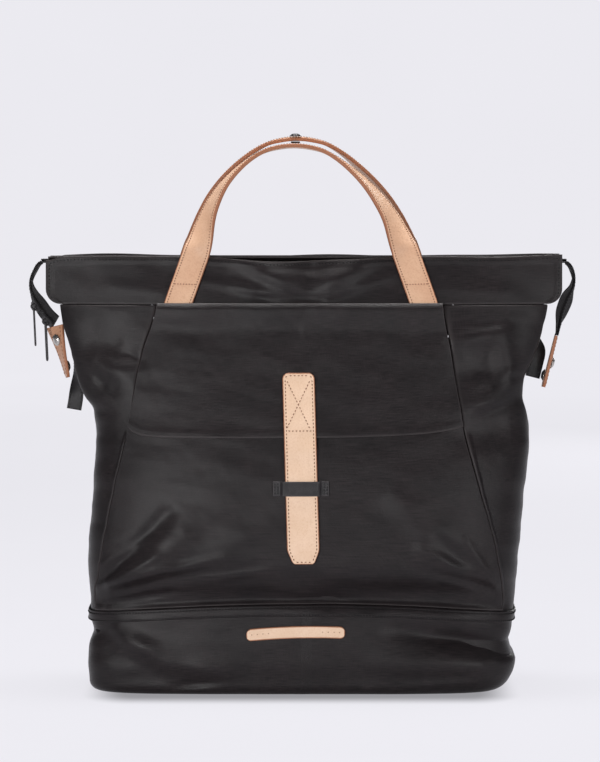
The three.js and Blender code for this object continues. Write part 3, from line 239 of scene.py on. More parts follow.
# Finer creases, only in the cloth's surface.
CREASES = [
    (-0.93, 0.245, -0.66, 0.325, 0.022, 0.03),
    (-0.87, 0.253, -0.336, 0.325, 0.022, 0.028),
    (-0.85, 0.235, -0.4, 0.29, 0.02, -0.026),
    (-0.4, 0.265, -0.15, 0.285, 0.02, 0.02),
    (0.9, 0.25, 0.55, 0.34, 0.025, 0.028),
    (0.88, 0.235, 0.5, 0.3, 0.022, -0.028),
    (-0.12, 0.955, 0.2, 0.95, 0.06, 0.035),
    (-0.3, 0.935, -0.1, 0.905, 0.03, 0.02),
    (-0.9, 0.197, 0.95, 0.197, 0.024, -0.035),
    (-0.7, 0.222, 0.13, 0.21, 0.05, 0.045),
    (-0.93, 0.205, -0.58, 0.226, 0.016, -0.035),
    (-0.62, 0.066, -0.36, 0.05, 0.04, 0.035),
    (-0.78, 0.085, -0.5, 0.035, 0.05, -0.03),
    (-0.88, 0.25, -0.62, 0.3, 0.03, 0.03),
    (-0.6, 0.262, -0.2, 0.3, 0.03, -0.018),
    (-0.92, 0.3, -0.7, 0.36, 0.02, 0.018),
    (-0.5, 0.33, -0.15, 0.385, 0.05, 0.014),
    (0.86, 0.232, 0.66, 0.262, 0.02, 0.02),
    (0.9, 0.25, 0.76, 0.36, 0.018, 0.016),
    (0.55, 0.4, 0.75, 0.32, 0.03, -0.015),
    (0.6, 0.12, 0.92, 0.112, 0.02, -0.03),
    (0.5, 0.022, 0.82, 0.03, 0.02, 0.02),
    (-0.58, 0.02, -0.4, 0.03, 0.014, -0.035),
    (0.8, 0.835, 0.98, 0.845, 0.02, -0.018),
    (0.98, 0.66, 0.86, 0.64, 0.02, -0.025),
    (0.93, 0.67, 0.8, 0.66, 0.018, 0.025),
    (0.99, 0.74, 0.92, 0.72, 0.02, 0.022),
    (-0.82, 0.775, -0.74, 0.76, 0.02, -0.028),
    (-0.86, 0.745, -0.72, 0.735, 0.022, 0.018),
    (-0.99, 0.72, -0.93, 0.69, 0.018, 0.02),
    (-0.98, 0.655, -0.9, 0.64, 0.03, -0.02),
    (-0.45, 0.94, -0.05, 0.9, 0.02, 0.012),
    (0.42, 0.95, 0.12, 0.905, 0.02, 0.012),
    (-0.2, 0.905, 0.1, 0.9, 0.02, -0.014),
    (-0.9, 0.93, -0.6, 0.915, 0.03, 0.008),
    (0.6, 0.925, 0.95, 0.915, 0.03, 0.008),
]

# Soft folds of the back, seen under the shoulder straps.
BACK_FOLDS = [
    (-0.7, 0.3, 0.2, 0.27, 0.06, -0.05),
    (0.1, 0.28, 0.75, 0.32, 0.05, -0.04),
    (-0.8, 0.68, -0.4, 0.62, 0.07, -0.05),
    (0.4, 0.63, 0.85, 0.69, 0.07, -0.05),
    (-0.5, 0.5, 0.4, 0.48, 0.1, 0.04),
    (-0.75, 0.12, -0.3, 0.1, 0.05, -0.05),
    (0.3, 0.13, 0.8, 0.09, 0.05, -0.05),
]


def named(names, rows):
    return {name: np.array([row[k] for row in rows], float) for k, name in enumerate(names)}


SECTION_TABLE = named(SECTION_NAMES, SECTIONS)
LINE_TABLE = named(LINE_NAMES, SIDE_LINES)


def clamp(v):
    return np.clip(v, 0.0, 1.0)


def smooth(v):
    t = clamp(v)
    return t * t * (3 - 2 * t)


def mix(a, b, t):
    return a + (b - a) * t


# How far a rounded corner pulls an edge in, at a distance from the corner's end.
def corner_inset(distance, radius):
    inside = np.maximum(0, radius - distance)
    return radius - np.sqrt(np.maximum(0, radius**2 - inside**2))


def unit(vectors):
    return vectors / np.linalg.norm(vectors, axis=-1, keepdims=True)


# Distance run along a path at each of its points.
def run_along(path):
    steps = np.linalg.norm(np.diff(path, axis=0), axis=1)
    return np.concatenate([[0], np.cumsum(steps)])


def side_name(side):
    return "left" if side < 0 else "right"


def face_name(facing):
    return "front" if facing < 0 else "back"


# Smooth value of one column of a table, without overshoot.
def column(table, name, at):
    keys, values = table["up"], table[name]
    at = np.clip(at, keys[0], keys[-1])
    k = np.clip(np.searchsorted(keys, at, side="right") - 1, 0, len(keys) - 2)
    spans = np.diff(keys)
    slopes = np.diff(values) / spans
    tangents = np.zeros(len(keys))
    product = slopes[:-1] * slopes[1:]
    total = slopes[:-1] + slopes[1:]
    same = product > 0
    tangents[1:-1][same] = 2 * product[same] / total[same]
    span = spans[k]
    t = (at - keys[k]) / span
    t2, t3 = t * t, t * t * t
    ends = values[k] * (2 * t3 - 3 * t2 + 1) + values[k + 1] * (3 * t2 - 2 * t3)
    return ends + span * (tangents[k] * (t3 - 2 * t2 + t) + tangents[k + 1] * (t3 - t2))


def section_at(z):
    up = z / BODY_HEIGHT
    inset = {name: corner_inset(z, edge) for name, edge in BASE_EDGE.items()}
    left = HALF_WIDTH + FLARE * column(SECTION_TABLE, "left", up) - inset["left"]
    right = HALF_WIDTH + FLARE * column(SECTION_TABLE, "right", up) - inset["right"]
    ahead = HALF_DEPTH * column(SECTION_TABLE, "front", up) - inset["left"]
    behind = HALF_DEPTH * column(SECTION_TABLE, "back", up) - inset["left"]
    return left, right, ahead, behind, column(SECTION_TABLE, "square", up)


# A station runs round the section: 0 front middle, 1 front corner, 2 side middle,
# 3 back corner, 4 back middle; below 0 on the left side.
def section_point(turn, z):
    left, right, ahead, behind, square = section_at(z)
    station = np.where(np.abs(turn) > 4, turn - 8 * np.sign(turn), turn)
    a = np.abs(station)
    across = np.where(a <= 1, a, np.where(a <= 3, 1.0, 4 - a))
    along = np.where(a <= 1, -1.0, np.where(a <= 3, a - 2, 1.0))
    r = (across**square + np.abs(along) ** square) ** (-1 / square)
    side = np.where(station < 0, -1.0, 1.0)
    rise = smooth((z / BODY_HEIGHT - GUSSET_START) / GUSSET_RISE)
    fold = GUSSET_FOLD * rise * smooth(1 - np.abs(a - 2) / FOLD_REACH)
    x = side * (across * r * np.where(side < 0, left, right) - fold)
    y = along * r * np.where(along < 0, ahead, behind)
    return x, y


CROWDING = 0.65


def crowded(t):
    return t + (CROWDING / math.pi) * np.sin(math.pi * t)


def uncrowded(station):
    t = np.array(station, float)
    for _ in range(40):
        t = t - 0.5 * (crowded(t) - station)
    return t


def mix_stations(a, b, share):
    return crowded(mix(uncrowded(a), uncrowded(b), share))


# The station on the front at which the section is x wide.
def station_at(x, z):
    left, right, _, _, square = section_at(z)
    share = np.minimum(0.999, np.abs(x) / np.where(x < 0, left, right)) ** square
    flat = (share / (1 - share)) ** (1 / square)
    bent = 2 - np.maximum(1e-9, 1 / np.maximum(share, 1e-9) - 1) ** (1 / square)
    return np.sign(x) * np.where(share <= 0.5, flat, bent)


# How far a table of folds pushes the cloth out at a place.
def relief(x, z, folds):
    total = np.zeros(np.broadcast(x, z).shape)
    for row in folds:
        fold = dict(zip(FOLD_NAMES, row))
        ax, az = fold["x"] * HALF_WIDTH, fold["up"] * BODY_HEIGHT
        dx, dz = fold["to_x"] * HALF_WIDTH - ax, fold["to_up"] * BODY_HEIGHT - az
        t = clamp(((x - ax) * dx + (z - az) * dz) / (dx * dx + dz * dz))
        off = np.hypot(x - ax - t * dx, z - az - t * dz) / (fold["wide"] * HALF_WIDTH)
        fade = 1 - 0.4 * (2 * t - 1) ** 2
        total = total + fold["high"] * HALF_DEPTH * np.exp(-off * off) * fade
    return total


FOLD_DEPTH = (1.35, 0.9)  # factors for the folds low and high on the front
YOKE_FOLD_DEPTH = 1.8  # and on the top band
FACE_FADE = 0.35  # share of the half depth over which the front's and back's folds fade
FACE_START = 0.2
SIDE_UNROLL = 0.8  # how much the depth adds to the run of the waves round the bag
WAVES = 9

# Soft waves all over the cloth: (high, size, seed, stretch), the first two in millimetres.
SKIN_WAVES = [(0.22, 34, 5, 1.6), (0.06, 11, 8, 1.3)]


# Small waves of the cloth: a fixed sum of crossing sine waves about size long.
def ripples(x, z, size, seed, stretch=1.0):
    rng = np.random.default_rng(seed)
    total = np.zeros(np.broadcast(x, z).shape)
    for _ in range(WAVES):
        angle = rng.uniform(0, math.pi)
        length = size * rng.uniform(0.7, 1.6)
        phase = rng.uniform(0, 2 * math.pi)
        k = 2 * math.pi / length
        bend = 0.6 * np.sin(x / (2.3 * size) + phase) + 0.6 * np.sin(z / (1.9 * size) - phase)
        total += np.sin(k * (x * math.cos(angle) / stretch + z * math.sin(angle)) + phase + bend)
    return total / math.sqrt(WAVES / 2)


# A point of the bag's surface, moved outwards by an offset.
def skin(station, z, offset=0.0):
    x, y = section_point(station, z)
    step = 0.01
    ax, ay = section_point(station + step, z)
    bx, by = section_point(station - step, z)
    nx, ny = ay - by, bx - ax
    length = np.hypot(nx, ny)
    depth = y / (FACE_FADE * HALF_DEPTH)
    front_share, back_share = smooth(FACE_START - depth), smooth(FACE_START + depth)
    around = x - y * np.sign(x) * SIDE_UNROLL
    deep = mix(*FOLD_DEPTH, smooth((z - 0.5 * BODY_HEIGHT) / BASE_HEIGHT))
    push = deep * relief(x, z, FOLDS + CREASES) * front_share
    push = push + relief(x, z, BACK_FOLDS) * back_share
    for high, *wave in SKIN_WAVES:
        push = push + high * ripples(around, z, *wave)
    near = np.maximum(0, 1 - ((z - BASE_HEIGHT) / BASE_HEIGHT) ** 2) ** 2
    lift = SEAM_ARCH * near * np.maximum(0, 1 - (x / HALF_WIDTH) ** 2)
    total = push + offset
    out = total / length
    return np.stack([x + nx * out, y + ny * out, z + lift + 0 * x], -1)


# A point of the front between the side lines: across runs from -1 to 1.
def front(across, z, offset):
    corner = FLAP_CORNER_LIFT * np.abs(across) ** 3
    lifted = z + corner * np.exp(-(((z - FLAP_BOTTOM) / FLAP_CORNER_REACH) ** 2))
    up = lifted / BODY_HEIGHT
    left = station_at(-HALF_WIDTH * column(LINE_TABLE, "left", up), lifted)
    right = station_at(HALF_WIDTH * column(LINE_TABLE, "right", up), lifted)
    return skin(mix_stations(left, right, (across + 1) / 2), lifted, offset)


# Depth of the top band at its foot and top, as shares of the half depth.
YOKE_MIDDLE = (0.54, 0.36)
YOKE_END = (0.26, 0.22)
YOKE_SQUARE = 3.5


def yoke_depth(x, z):
    up = (z - YOKE_BOTTOM) / YOKE_HEIGHT
    middle = HALF_DEPTH * mix(*YOKE_MIDDLE, up)
    end = HALF_DEPTH * mix(*YOKE_END, up)
    share = np.minimum(1, np.abs(x - TOP_SHIFT) / (TOP_WIDTH / 2))
    return end + (middle - end) * (1 - share**YOKE_SQUARE)


UV_UNIT = 100  # millimetres of cloth in one unit of the UV map


def add_object(name, data):
    item = bpy.data.objects.new(name, data)
    bpy.context.scene.collection.objects.link(item)
    return item


# Makes an object from vertices in millimetres and faces. uv is a place on the cloth in
# millimetres per vertex; marks are named numbers per vertex.
def make_piece(name, points, faces, uv=None, marks=None):
    points = np.asarray(points, float).reshape(-1, 3)
    mesh = bpy.data.meshes.new(name)
    mesh.from_pydata((points * MM).tolist(), [], [list(map(int, f)) for f in faces])
    mesh.validate()
    mesh.shade_smooth()
    if uv is not None:
        layer = mesh.uv_layers.new(name="UVMap")
        index = np.zeros(len(mesh.loops), np.int32)
        mesh.loops.foreach_get("vertex_index", index)
        flat = np.asarray(uv, float).reshape(-1, 2)[index] / UV_UNIT
        layer.data.foreach_set("uv", flat.astype(np.float32).ravel())
    for mark, values in (marks or {}).items():
        attribute = mesh.attributes.new(mark, "FLOAT", "POINT")
        attribute.data.foreach_set("value", np.asarray(values, np.float32).ravel())
    return add_object(name, mesh)


def dress(piece, finish, slot, *nodes):
    piece.data.materials.clear()
    piece.data.materials.append(finish)
    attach(piece, "root")
    if nodes:
        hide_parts(*nodes)
    return piece


EDGE_STEPS = np.array([0, 0.12, 0.4, 1.0, 2.2, 4.0, 5.5, 7.0])  # in edge radii


# Shares along a length, close together at both ends where the edge is rounded.
def shares(length, step, radius):
    near = EDGE_STEPS * radius
    near = near[near < length / 3]
    count = max(2, int((length - 2 * near[-1]) / step))
    middle = np.linspace(near[-1], length - near[-1], count + 1)[1:-1]
    return np.concatenate([near, middle, (length - near)[::-1]]) / length


# A cloth wall with rounded edges. place(a, b, offset) takes shares across and up.
# hems holds the turned edges by side: left, right, low, high.
def cloth(name, place, width, height, step=3.2, thick=CLOTH, round_by=1.0, hems=()):
    radius = thick / 2
    a = shares(width, step, round_by)
    b = shares(height, step, round_by)
    aa, bb = np.meshgrid(a, b)
    sides = {
        "left": aa * width,
        "right": (1 - aa) * width,
        "low": bb * height,
        "high": (1 - bb) * height,
    }
    half = np.full(aa.shape, radius)
    for distance in sides.values():
        half = half * np.sqrt(1 - (1 - clamp(distance / round_by)) ** 2)
    lift = np.zeros(aa.shape)
    for side in hems:
        lift = np.maximum(lift, HEM_HIGH * (1 - smooth((sides[side] - HEM) / HEM_FADE)))
    outer = place(aa, bb, radius + half + lift)
    inner = place(aa, bb, radius - half)
    rows, columns = aa.shape
    outer_index = np.arange(rows * columns).reshape(rows, columns)
    inner_index = outer_index.copy()
    inside = (rows - 2) * (columns - 2)
    inner_index[1:-1, 1:-1] = rows * columns + np.arange(inside).reshape(rows - 2, columns - 2)
    points = np.concatenate([outer.reshape(-1, 3), inner[1:-1, 1:-1].reshape(-1, 3)])
    uv = np.stack([aa * width, bb * height], -1)
    uvs = np.concatenate([uv.reshape(-1, 2), uv[1:-1, 1:-1].reshape(-1, 2)])
    nearest = np.minimum.reduce(list(sides.values()))
    edge = np.exp(-((nearest / 1.1) ** 2))
    edges = np.concatenate([edge.ravel(), edge[1:-1, 1:-1].ravel()])
    faces = grid_faces(outer_index) + grid_faces(inner_index[:, ::-1])
    return outward(make_piece(name, points, faces, uvs, {"edge": edges}))


def grid_faces(index):
    a, b = index[:-1, :-1].ravel(), index[:-1, 1:].ravel()
    c, d = index[1:, 1:].ravel(), index[1:, :-1].ravel()
    return np.stack([a, b, c, d], -1).tolist()


# Faces of a tube whose points are rows of sides points each, with its ends closed.
def tube_faces(rows, sides, ends=True):
    index = np.arange(rows * sides).reshape(rows, sides)
    faces = grid_faces(np.concatenate([index, index[:, :1]], 1))
    if ends:
        faces += [index[0].tolist(), index[-1][::-1].tolist()]
    return faces


# Points round a path. side and out are directions at each of its points.
def tube_points(path, side, out, radius, sides):
    turn = 2 * math.pi * np.arange(sides) / sides
    across = np.cos(turn)[None, :, None] * side[:, None]
    up = np.sin(turn)[None, :, None] * out[:, None]
    return (path[:, None] + radius * (across + up)).reshape(-1, 3)


# Turns a closed piece's faces out.
def outward(piece):
    mesh = piece.data
    mesh.calc_loop_triangles()
    co = np.zeros(len(mesh.vertices) * 3)
    mesh.vertices.foreach_get("co", co)
    co = co.reshape(-1, 3)
    tri = np.zeros(len(mesh.loop_triangles) * 3, np.int32)
    mesh.loop_triangles.foreach_get("vertices", tri)
    p, q, r = co[tri.reshape(-1, 3)].transpose(1, 0, 2)
    if np.einsum("ij,ij->i", p, np.cross(q, r)).sum() < 0:
        mesh.flip_normals()
    return piece


ROUND_STEPS = 260  # points in a loop round the bag


# A closed piece round the bag. rows holds (height, offset), each a loop of points. A band's
# last loop joins its first, and a cup's first and last loops are filled.
def round_the_bag(name, rows, band=False):
    k = np.arange(ROUND_STEPS)
    stations = crowded(8 * k / ROUND_STEPS - 4)
    loops = np.stack([skin(stations, np.full(ROUND_STEPS, float(z)), offset) for z, offset in rows])
    faces = tube_faces(len(rows), ROUND_STEPS, ends=not band)
    if band:
        first = np.append(k, 0)
        faces += grid_faces(np.stack([first + (len(rows) - 1) * ROUND_STEPS, first]))
    run = run_along(loops[0])
    run = np.where(k > ROUND_STEPS / 2, run - run[-1], run)
    rise = np.array([z for z, _ in rows])
    uv = np.stack(np.broadcast_arrays(run[None, :], rise[:, None]), -1)
    return outward(make_piece(name, loops, faces, uv))


# Base cup: loops up its outside, over its rounded edge, and down its inside.
BASE_FOOT_LOOPS = (0, 0.6, 1.5, 3, 5, 7.5, 10)
BASE_INNER_LOOPS = (70, 50, 30, 12, 6, CLOTH)
BASE_LIP = [(0.8, 0.0), (0.2, 0.3), (0.0, CLOTH / 2), (0.2, CLOTH - 0.3), (0.8, CLOTH)]


def build_base(finish):
    rows = [(z, 0.0) for z in (*BASE_FOOT_LOOPS, *np.arange(13, BASE_TOP - 2, 2.6))]
    rows += [(BASE_TOP - down, -inside) for down, inside in BASE_LIP]
    rows += [(z, -CLOTH) for z in BASE_INNER_LOOPS]
    dress(round_the_bag("base_cloth", rows), finish, "canvas", "base_panel")


# Twin-stitched band over the base seam: a folded edge above, two sunken stitch rows.
BAND_ROWS = (0.12, 0.74)  # heights of the stitch rows, as shares of the band
BAND_GROOVE = 0.12  # depth of the groove that a row lies in
BAND_FOLD = 0.35  # how far the folded edge stands out


def band_profile():
    low = BASE_HEIGHT - BAND_HEIGHT / 2
    face = BAND_LIFT + BAND_THICK
    rows = [(low, BAND_LIFT), (low, BAND_LIFT + 0.5), (low + 0.4, face - 0.2)]
    for share in np.linspace(0.08, 0.97, 20):
        groove = sum(BAND_GROOVE * np.exp(-(((share - s) / 0.05) ** 2)) for s in BAND_ROWS)
        fold = BAND_FOLD * smooth((share - 0.8) / 0.1)
        rows.append((low + share * BAND_HEIGHT, face - groove + fold))
    rows += [(low + BAND_HEIGHT, face - 0.1), (low + BAND_HEIGHT, BAND_LIFT)]
    return rows


def build_band(finish, thread):
    dress(round_the_bag("seam_band_cloth", band_profile(), band=True), finish, "canvas", "seam_band")
    stations = crowded(np.linspace(-4, 4, 1600))
    lines = []
    for share in BAND_ROWS:
        z = np.full(len(stations), BASE_HEIGHT + (share - 0.5) * BAND_HEIGHT)
        lines.append(seam_on(lambda lift: skin(stations, z, lift), BAND_LIFT + BAND_THICK + 0.05))
    sew("band_stitches", lines, thread, **SEWING["band"])


# Kinds of stitches: radius and pitch in millimetres, and the share of the pitch that the
# thread covers.
SEWING = {
    "band": {"radius": 0.66, "pitch": 2.8, "filled": 0.42},
    "yoke": {"radius": 0.62, "pitch": 3.3, "filled": 0.5},
    "handle": {"radius": 0.6, "pitch": 2.6, "filled": 0.5},
    "closure": {"radius": 0.5, "pitch": 3.3, "filled": 0.6},
    "keeper": {"radius": 0.42, "pitch": 2.7, "filled": 0.75},
    "tab": {"radius": 0.42, "pitch": 3.4, "filled": 0.75},
    "side_strap": {"radius": 0.34, "pitch": 3.0, "filled": 0.75},
    "pad": {"radius": 0.42, "pitch": 3.3, "filled": 0.75},
    "anchor": {"radius": 0.42, "pitch": 4, "filled": 0.75},
    "plate_hole": {"radius": PLATE_HOLE / 2, "pitch": PLATE_HOLE, "filled": 0.75},
}
STITCH_SIDES = 6

# A stitch along its length. along: share of its length. size: share of its radius. dip: how
# far it stands out or goes in, as a share of its width.
STITCH_NAMES = ("along", "size", "dip")
STITCH_PROFILE = named(
    STITCH_NAMES,
    [(-0.5, 0.0, -0.5), (-0.42, 0.7, -0.1), (0.0, 1.0, 0.12), (0.42, 0.7, -0.1), (0.5, 0.0, -0.5)],
)


# Faces between a first point, rings of sides points, and a last point.
def spindle_faces(first, rings, sides):
    faces = []
    tip = first + 1 + rings * sides
    last = tip - sides
    for k in range(sides):
        nxt = (k + 1) % sides
        faces.append([first, first + 1 + nxt, first + 1 + k])
        for ring in range(rings - 1):
            a = first + 1 + ring * sides
            faces.append([a + k, a + nxt, a + sides + nxt, a + sides + k])
        faces.append([tip, last + k, last + nxt])
    return faces


# Sews rows of (points, outward directions), all in one piece.
def sew(name, rows, finish, radius, pitch, filled):
    turn = 2 * math.pi * np.arange(STITCH_SIDES) / STITCH_SIDES
    rings = len(STITCH_PROFILE["size"]) - 2
    points, faces = [], []
    for line, outs in rows:
        run = run_along(line)
        count = int(run[-1] / pitch)
        centres = (np.arange(count) + 0.5) * run[-1] / max(count, 1)
        ahead, behind = at_run(line, run, centres + 0.5), at_run(line, run, centres - 0.5)
        along = unit(ahead - behind)
        out = at_run(outs, run, centres)
        out = unit(out - np.einsum("ij,ij->i", out, along)[:, None] * along)
        side = np.cross(along, out)
        for middle, t, n, s in zip(at_run(line, run, centres), along, out, side):
            shift = np.outer(STITCH_PROFILE["along"], t) * filled * pitch
            spine = middle + shift + np.outer(STITCH_PROFILE["dip"], n) * radius * 2
            wide = radius * STITCH_PROFILE["size"][1:-1, None, None]
            spokes = wide * (np.outer(np.cos(turn), s) + np.outer(np.sin(turn), n))
            faces += spindle_faces(len(points), rings, STITCH_SIDES)
            points += [spine[0], *(spine[1:-1, None] + spokes).reshape(-1, 3), spine[-1]]
    return dress(make_piece(name, points, faces), finish, "webbing")


# Values of a path's rows at distances run along it.
def at_run(values, run, distances):
    return np.stack([np.interp(distances, run, values[:, k]) for k in range(3)], -1)


# A row of stitches on a surface: spot gives the surface at a lift, and the row lies at lift.
def seam_on(spot, lift):
    on = spot(lift)
    return on, spot(lift + 1) - on


LAYER_REACH = 0.995  # share of the way to the side lines that a layer of the front covers
POCKET_DRAW = 0.02  # how much less the pocket covers under the flap
FLAP_BACK = 2.2  # the flap's folded top turns back by this much
FLAP_DROOP = 0.5  # and its lower edge stands out by this much


# A layer of the front between two heights. tuck is how far its sides draw in under the flap.
def front_layer(name, low, high, offset, finish, node, hems=(), step=2.8, tuck=0.0):
    middle_z = (low + high) / 2
    edge = front(np.array([-1.0, 1.0]), np.full(2, middle_z), 0.0)
    width = float(np.linalg.norm(edge[1] - edge[0])) * 1.08

    def place(a, b, out):
        z = mix(low, high, b)
        lift = offset(z) if callable(offset) else offset
        reach = LAYER_REACH - tuck * smooth((z - FLAP_BOTTOM) / 30)
        return front(reach * (2 * a - 1), z, lift + out)

    piece = cloth(name, place, width, high - low, step=step, hems=hems)
    return dress(piece, finish, "canvas", node)


def flap_lift(z):
    rise = smooth((z - mix(POCKET_TOP, FLAP_TOP, 0.2)) / FLAP_ROLL_REACH)
    back = FLAP_BACK * smooth((z - FLAP_TOP + 5) / 5)
    droop = FLAP_DROOP * (1 - smooth((z - FLAP_BOTTOM) / 14))
    return FLAP_OFFSET + FLAP_ROLL * rise - back + droop


def build_front(finish):
    front_layer("front_cloth", LOWEST, BODY_TOP, -CLOTH, finish, "front_panel", step=8)
    front_layer("pocket_cloth", POCKET_LOW, POCKET_TOP, GAP, finish, "pocket_panel", tuck=POCKET_DRAW)
    front_layer("flap_cloth", FLAP_BOTTOM, FLAP_TOP, flap_lift, finish, "flap", hems=("low",))


# Side panels, with a rolled edge beside the pocket
def build_side(side, finish):
    label = side_name(side)

    def place(a, b, out):
        z = mix(LOWEST, BODY_TOP, b)
        line = column(LINE_TABLE, label, z / BODY_HEIGHT)
        start = np.abs(station_at(HALF_WIDTH * line * side, z))
        station = mix_stations(start + SEAM_GAP / HALF_WIDTH, BACK_SEAM, a)
        over = smooth((z - FLAP_BOTTOM) / RIM_FADE + 0.5)
        beside = smooth((z - POCKET_LOW) / RIM_FADE) * (1 - over)
        distance = (station - start) * HALF_WIDTH
        roll = np.sqrt(np.maximum(0, 1 - (2 * distance / RIM_WIDTH - 1) ** 2))
        return skin(side * station, z, out - CLOTH + RIM_PROUD * beside * roll)

    piece = cloth(f"side_cloth_{label}", place, SIDE_GIRTH, BODY_TOP - LOWEST, step=2.8)
    return dress(piece, finish, "canvas", f"side_panel_{label}")


def build_back(finish):
    seam = BACK_SEAM + SEAM_GAP / HALF_WIDTH

    def place(a, b, out):
        station = mix_stations(seam, 8 - seam, a)
        return skin(station, mix(LOWEST, BODY_TOP, b), out - CLOTH)

    piece = cloth("back_cloth", place, BACK_GIRTH, BODY_TOP - LOWEST, step=3.4)
    return dress(piece, finish, "canvas", "back_panel")


# Band round the top. Its edge sags in the middle by (depth, half length) and dips at its
# left end.
YOKE_SAGS = {"front": (4.5, 95), "back": (1.2, 120)}
YOKE_DIP = 3.5
YOKE_DROP = 1.2  # its edge lies this far below the bag's height, for its waves


def yoke_top(x, facing):
    left_dip = YOKE_DIP * smooth((TOP_SHIFT - TOP_WIDTH / 2 + 16 - x) / 14)
    deep, reach = YOKE_SAGS[face_name(facing)]
    wave = 0.7 * np.sin(x / 31 + 0.8 * facing) + 0.4 * np.sin(x / 17)
    return BODY_HEIGHT - YOKE_DROP - left_dip - deep * np.exp(-((x / reach) ** 2)) + wave


def yoke_place(facing):
    low = YOKE_BOTTOM + SEAM_GAP / 2

    def place(a, b, out):
        rough_x = TOP_SHIFT + TOP_WIDTH / 2 * (2 * a - 1)
        z = mix(low, yoke_top(rough_x, facing), b)
        inset = corner_inset(z - low, YOKE_CORNER)
        x = TOP_SHIFT + (TOP_WIDTH / 2 - inset) * (2 * a - 1)
        folds = FOLDS + CREASES if facing < 0 else []
        push = YOKE_FOLD_DEPTH * relief(x, z, folds) + 0.25 * ripples(x, z, 30, 3 + facing, 1.5)
        depth = yoke_depth(x, z) - CLOTH + out + push
        return np.stack([x, facing * depth, z], -1)

    return place


def build_yoke(facing, finish, thread):
    label = face_name(facing)
    place = yoke_place(facing)
    hems = ("high", "left", "right")
    piece = cloth(f"yoke_cloth_{label}", place, TOP_WIDTH, YOKE_HEIGHT, step=2.8, hems=hems)
    dress(piece, finish, "canvas", f"yoke_{label}")
    t = np.linspace(0, 1, 600)
    inset_a, inset_b = 3.4 / TOP_WIDTH, 3.6 / YOKE_HEIGHT
    paths = [
        (mix(inset_a, 1 - inset_a, t), 0 * t + 1 - inset_b),
        (0 * t + inset_a, mix(0.12, 1 - inset_b, t)),
        (0 * t + 1 - inset_a, mix(0.12, 1 - inset_b, t)),
    ]
    rows = [seam_on(lambda lift: place(a, b, lift), CLOTH + 0.35) for a, b in paths]
    sew(f"yoke_stitches_{label}", rows, thread, **SEWING["yoke"])


# Ribbons: strips that follow a table of (x, y, z, roll) rows
def along_rows(values, at):
    n = len(values)
    k = np.clip(np.floor(at).astype(int), 0, n - 2)
    t = (at - k)[:, None]
    p, q, r, s = (values[np.clip(k + shift, 0, n - 1)] for shift in (-1, 0, 1, 2))
    bend = (r - p) * t + (2 * p - 5 * q + 4 * r - s) * t**2 + (3 * q - p - 3 * r + s) * t**3
    return q + 0.5 * bend


def ribbon_frames(rows, at):
    values = np.array(rows, float)
    last = len(rows) - 1
    here = along_rows(values, at)
    ahead = along_rows(values, np.minimum(last, at + 0.02))[:, :3]
    behind = along_rows(values, np.maximum(0, at - 0.02))[:, :3]
    along = unit(ahead - behind)
    flat = unit(np.array([0.0, 1.0, 0.0]) - along * along[:, 1:2])
    face = np.cross(along, flat)
    roll = np.radians(here[:, 3])[:, None]
    out = face * np.cos(roll) + flat * np.sin(roll)
    width = flat * np.cos(roll) - face * np.sin(roll)
    return here[:, :3], along, width, out


# Section of a strap with rounded edges: rows of (across, out, edge), edge 1 on the cut edges.
def strap_section(width, thick, round_by=0.9):
    half, h = width / 2, thick / 2
    r = min(h, round_by)
    flat = np.linspace(r - half, half - r, 9)
    bend = np.radians(np.linspace(60, -60, 5))
    places = []
    for side in (1, -1):
        places += [(side * across, side * h, 0.0) for across in flat]
        for angle in side * bend:
            rise = (h - r) * np.sign(angle) + r * np.sin(angle)
            places.append((side * (half - r + r * np.cos(angle)), rise, 1.0))
    return np.array(places)


# Sweeps a section along a ribbon. shape gives factors for its width and thickness from the
# distance run and the whole length.
def sweep(name, rows, section, step=2.0, offset=0.0, shape=None, start=0.0, stop=None):
    stop = len(rows) - 1 if stop is None else stop
    fine = np.linspace(start, stop, 400)
    run = run_along(ribbon_frames(rows, fine)[0])
    count = max(6, int(run[-1] / step))
    distance = np.linspace(0, run[-1], count + 1)
    middle, _, width, out = ribbon_frames(rows, np.interp(distance, run, fine))
    across, rise, edge = section.T
    wide, thick = shape(distance, run[-1]) if shape else np.ones((2, count + 1))
    a = across[None, :] * wide[:, None]
    h = rise[None, :] * thick[:, None] + offset
    points = middle[:, None] + width[:, None] * a[..., None] + out[:, None] * h[..., None]
    uv = np.stack(np.broadcast_arrays(a, distance[:, None]), -1)
    edges = np.tile(edge, (count + 1, 1))
    edges[[0, -1]] = 1
    faces = tube_faces(count + 1, len(section))
    return outward(make_piece(name, points, faces, uv, {"edge": edges}))


# A line along a ribbon, and the outward directions there.
def line_on(rows, across, lift, start=0.0, stop=None, count=900):
    stop = len(rows) - 1 if stop is None else stop
    middle, _, width, out = ribbon_frames(rows, np.linspace(start, stop, count))
    return middle + width * across + out * lift, out


# Handles
HANDLE_NAMES = ("out", "up", "turn", "lean")
HANDLE_TABLE = [
    (1.035, 0.0, -88, None),
    (1.011, 0.058, -87, None),
    (0.943, 0.2, -87, None),
    (0.874, 0.343, -86, None),
    (0.84, 0.408, -66, 0.06),
    (0.773, 0.55, -38, 0.42),
    (0.688, 0.67, -24, 0.66),
    (0.572, 0.784, -12, 0.84),
    (0.418, 0.89, -4, 0.96),
    (0.264, 0.962, 0, 1),
    (0.13, 0.991, 2, 1),
    (0, 1, 2, 1),
]
HANDLE_FOOT = YOKE_BOTTOM - HANDLE_TUCK

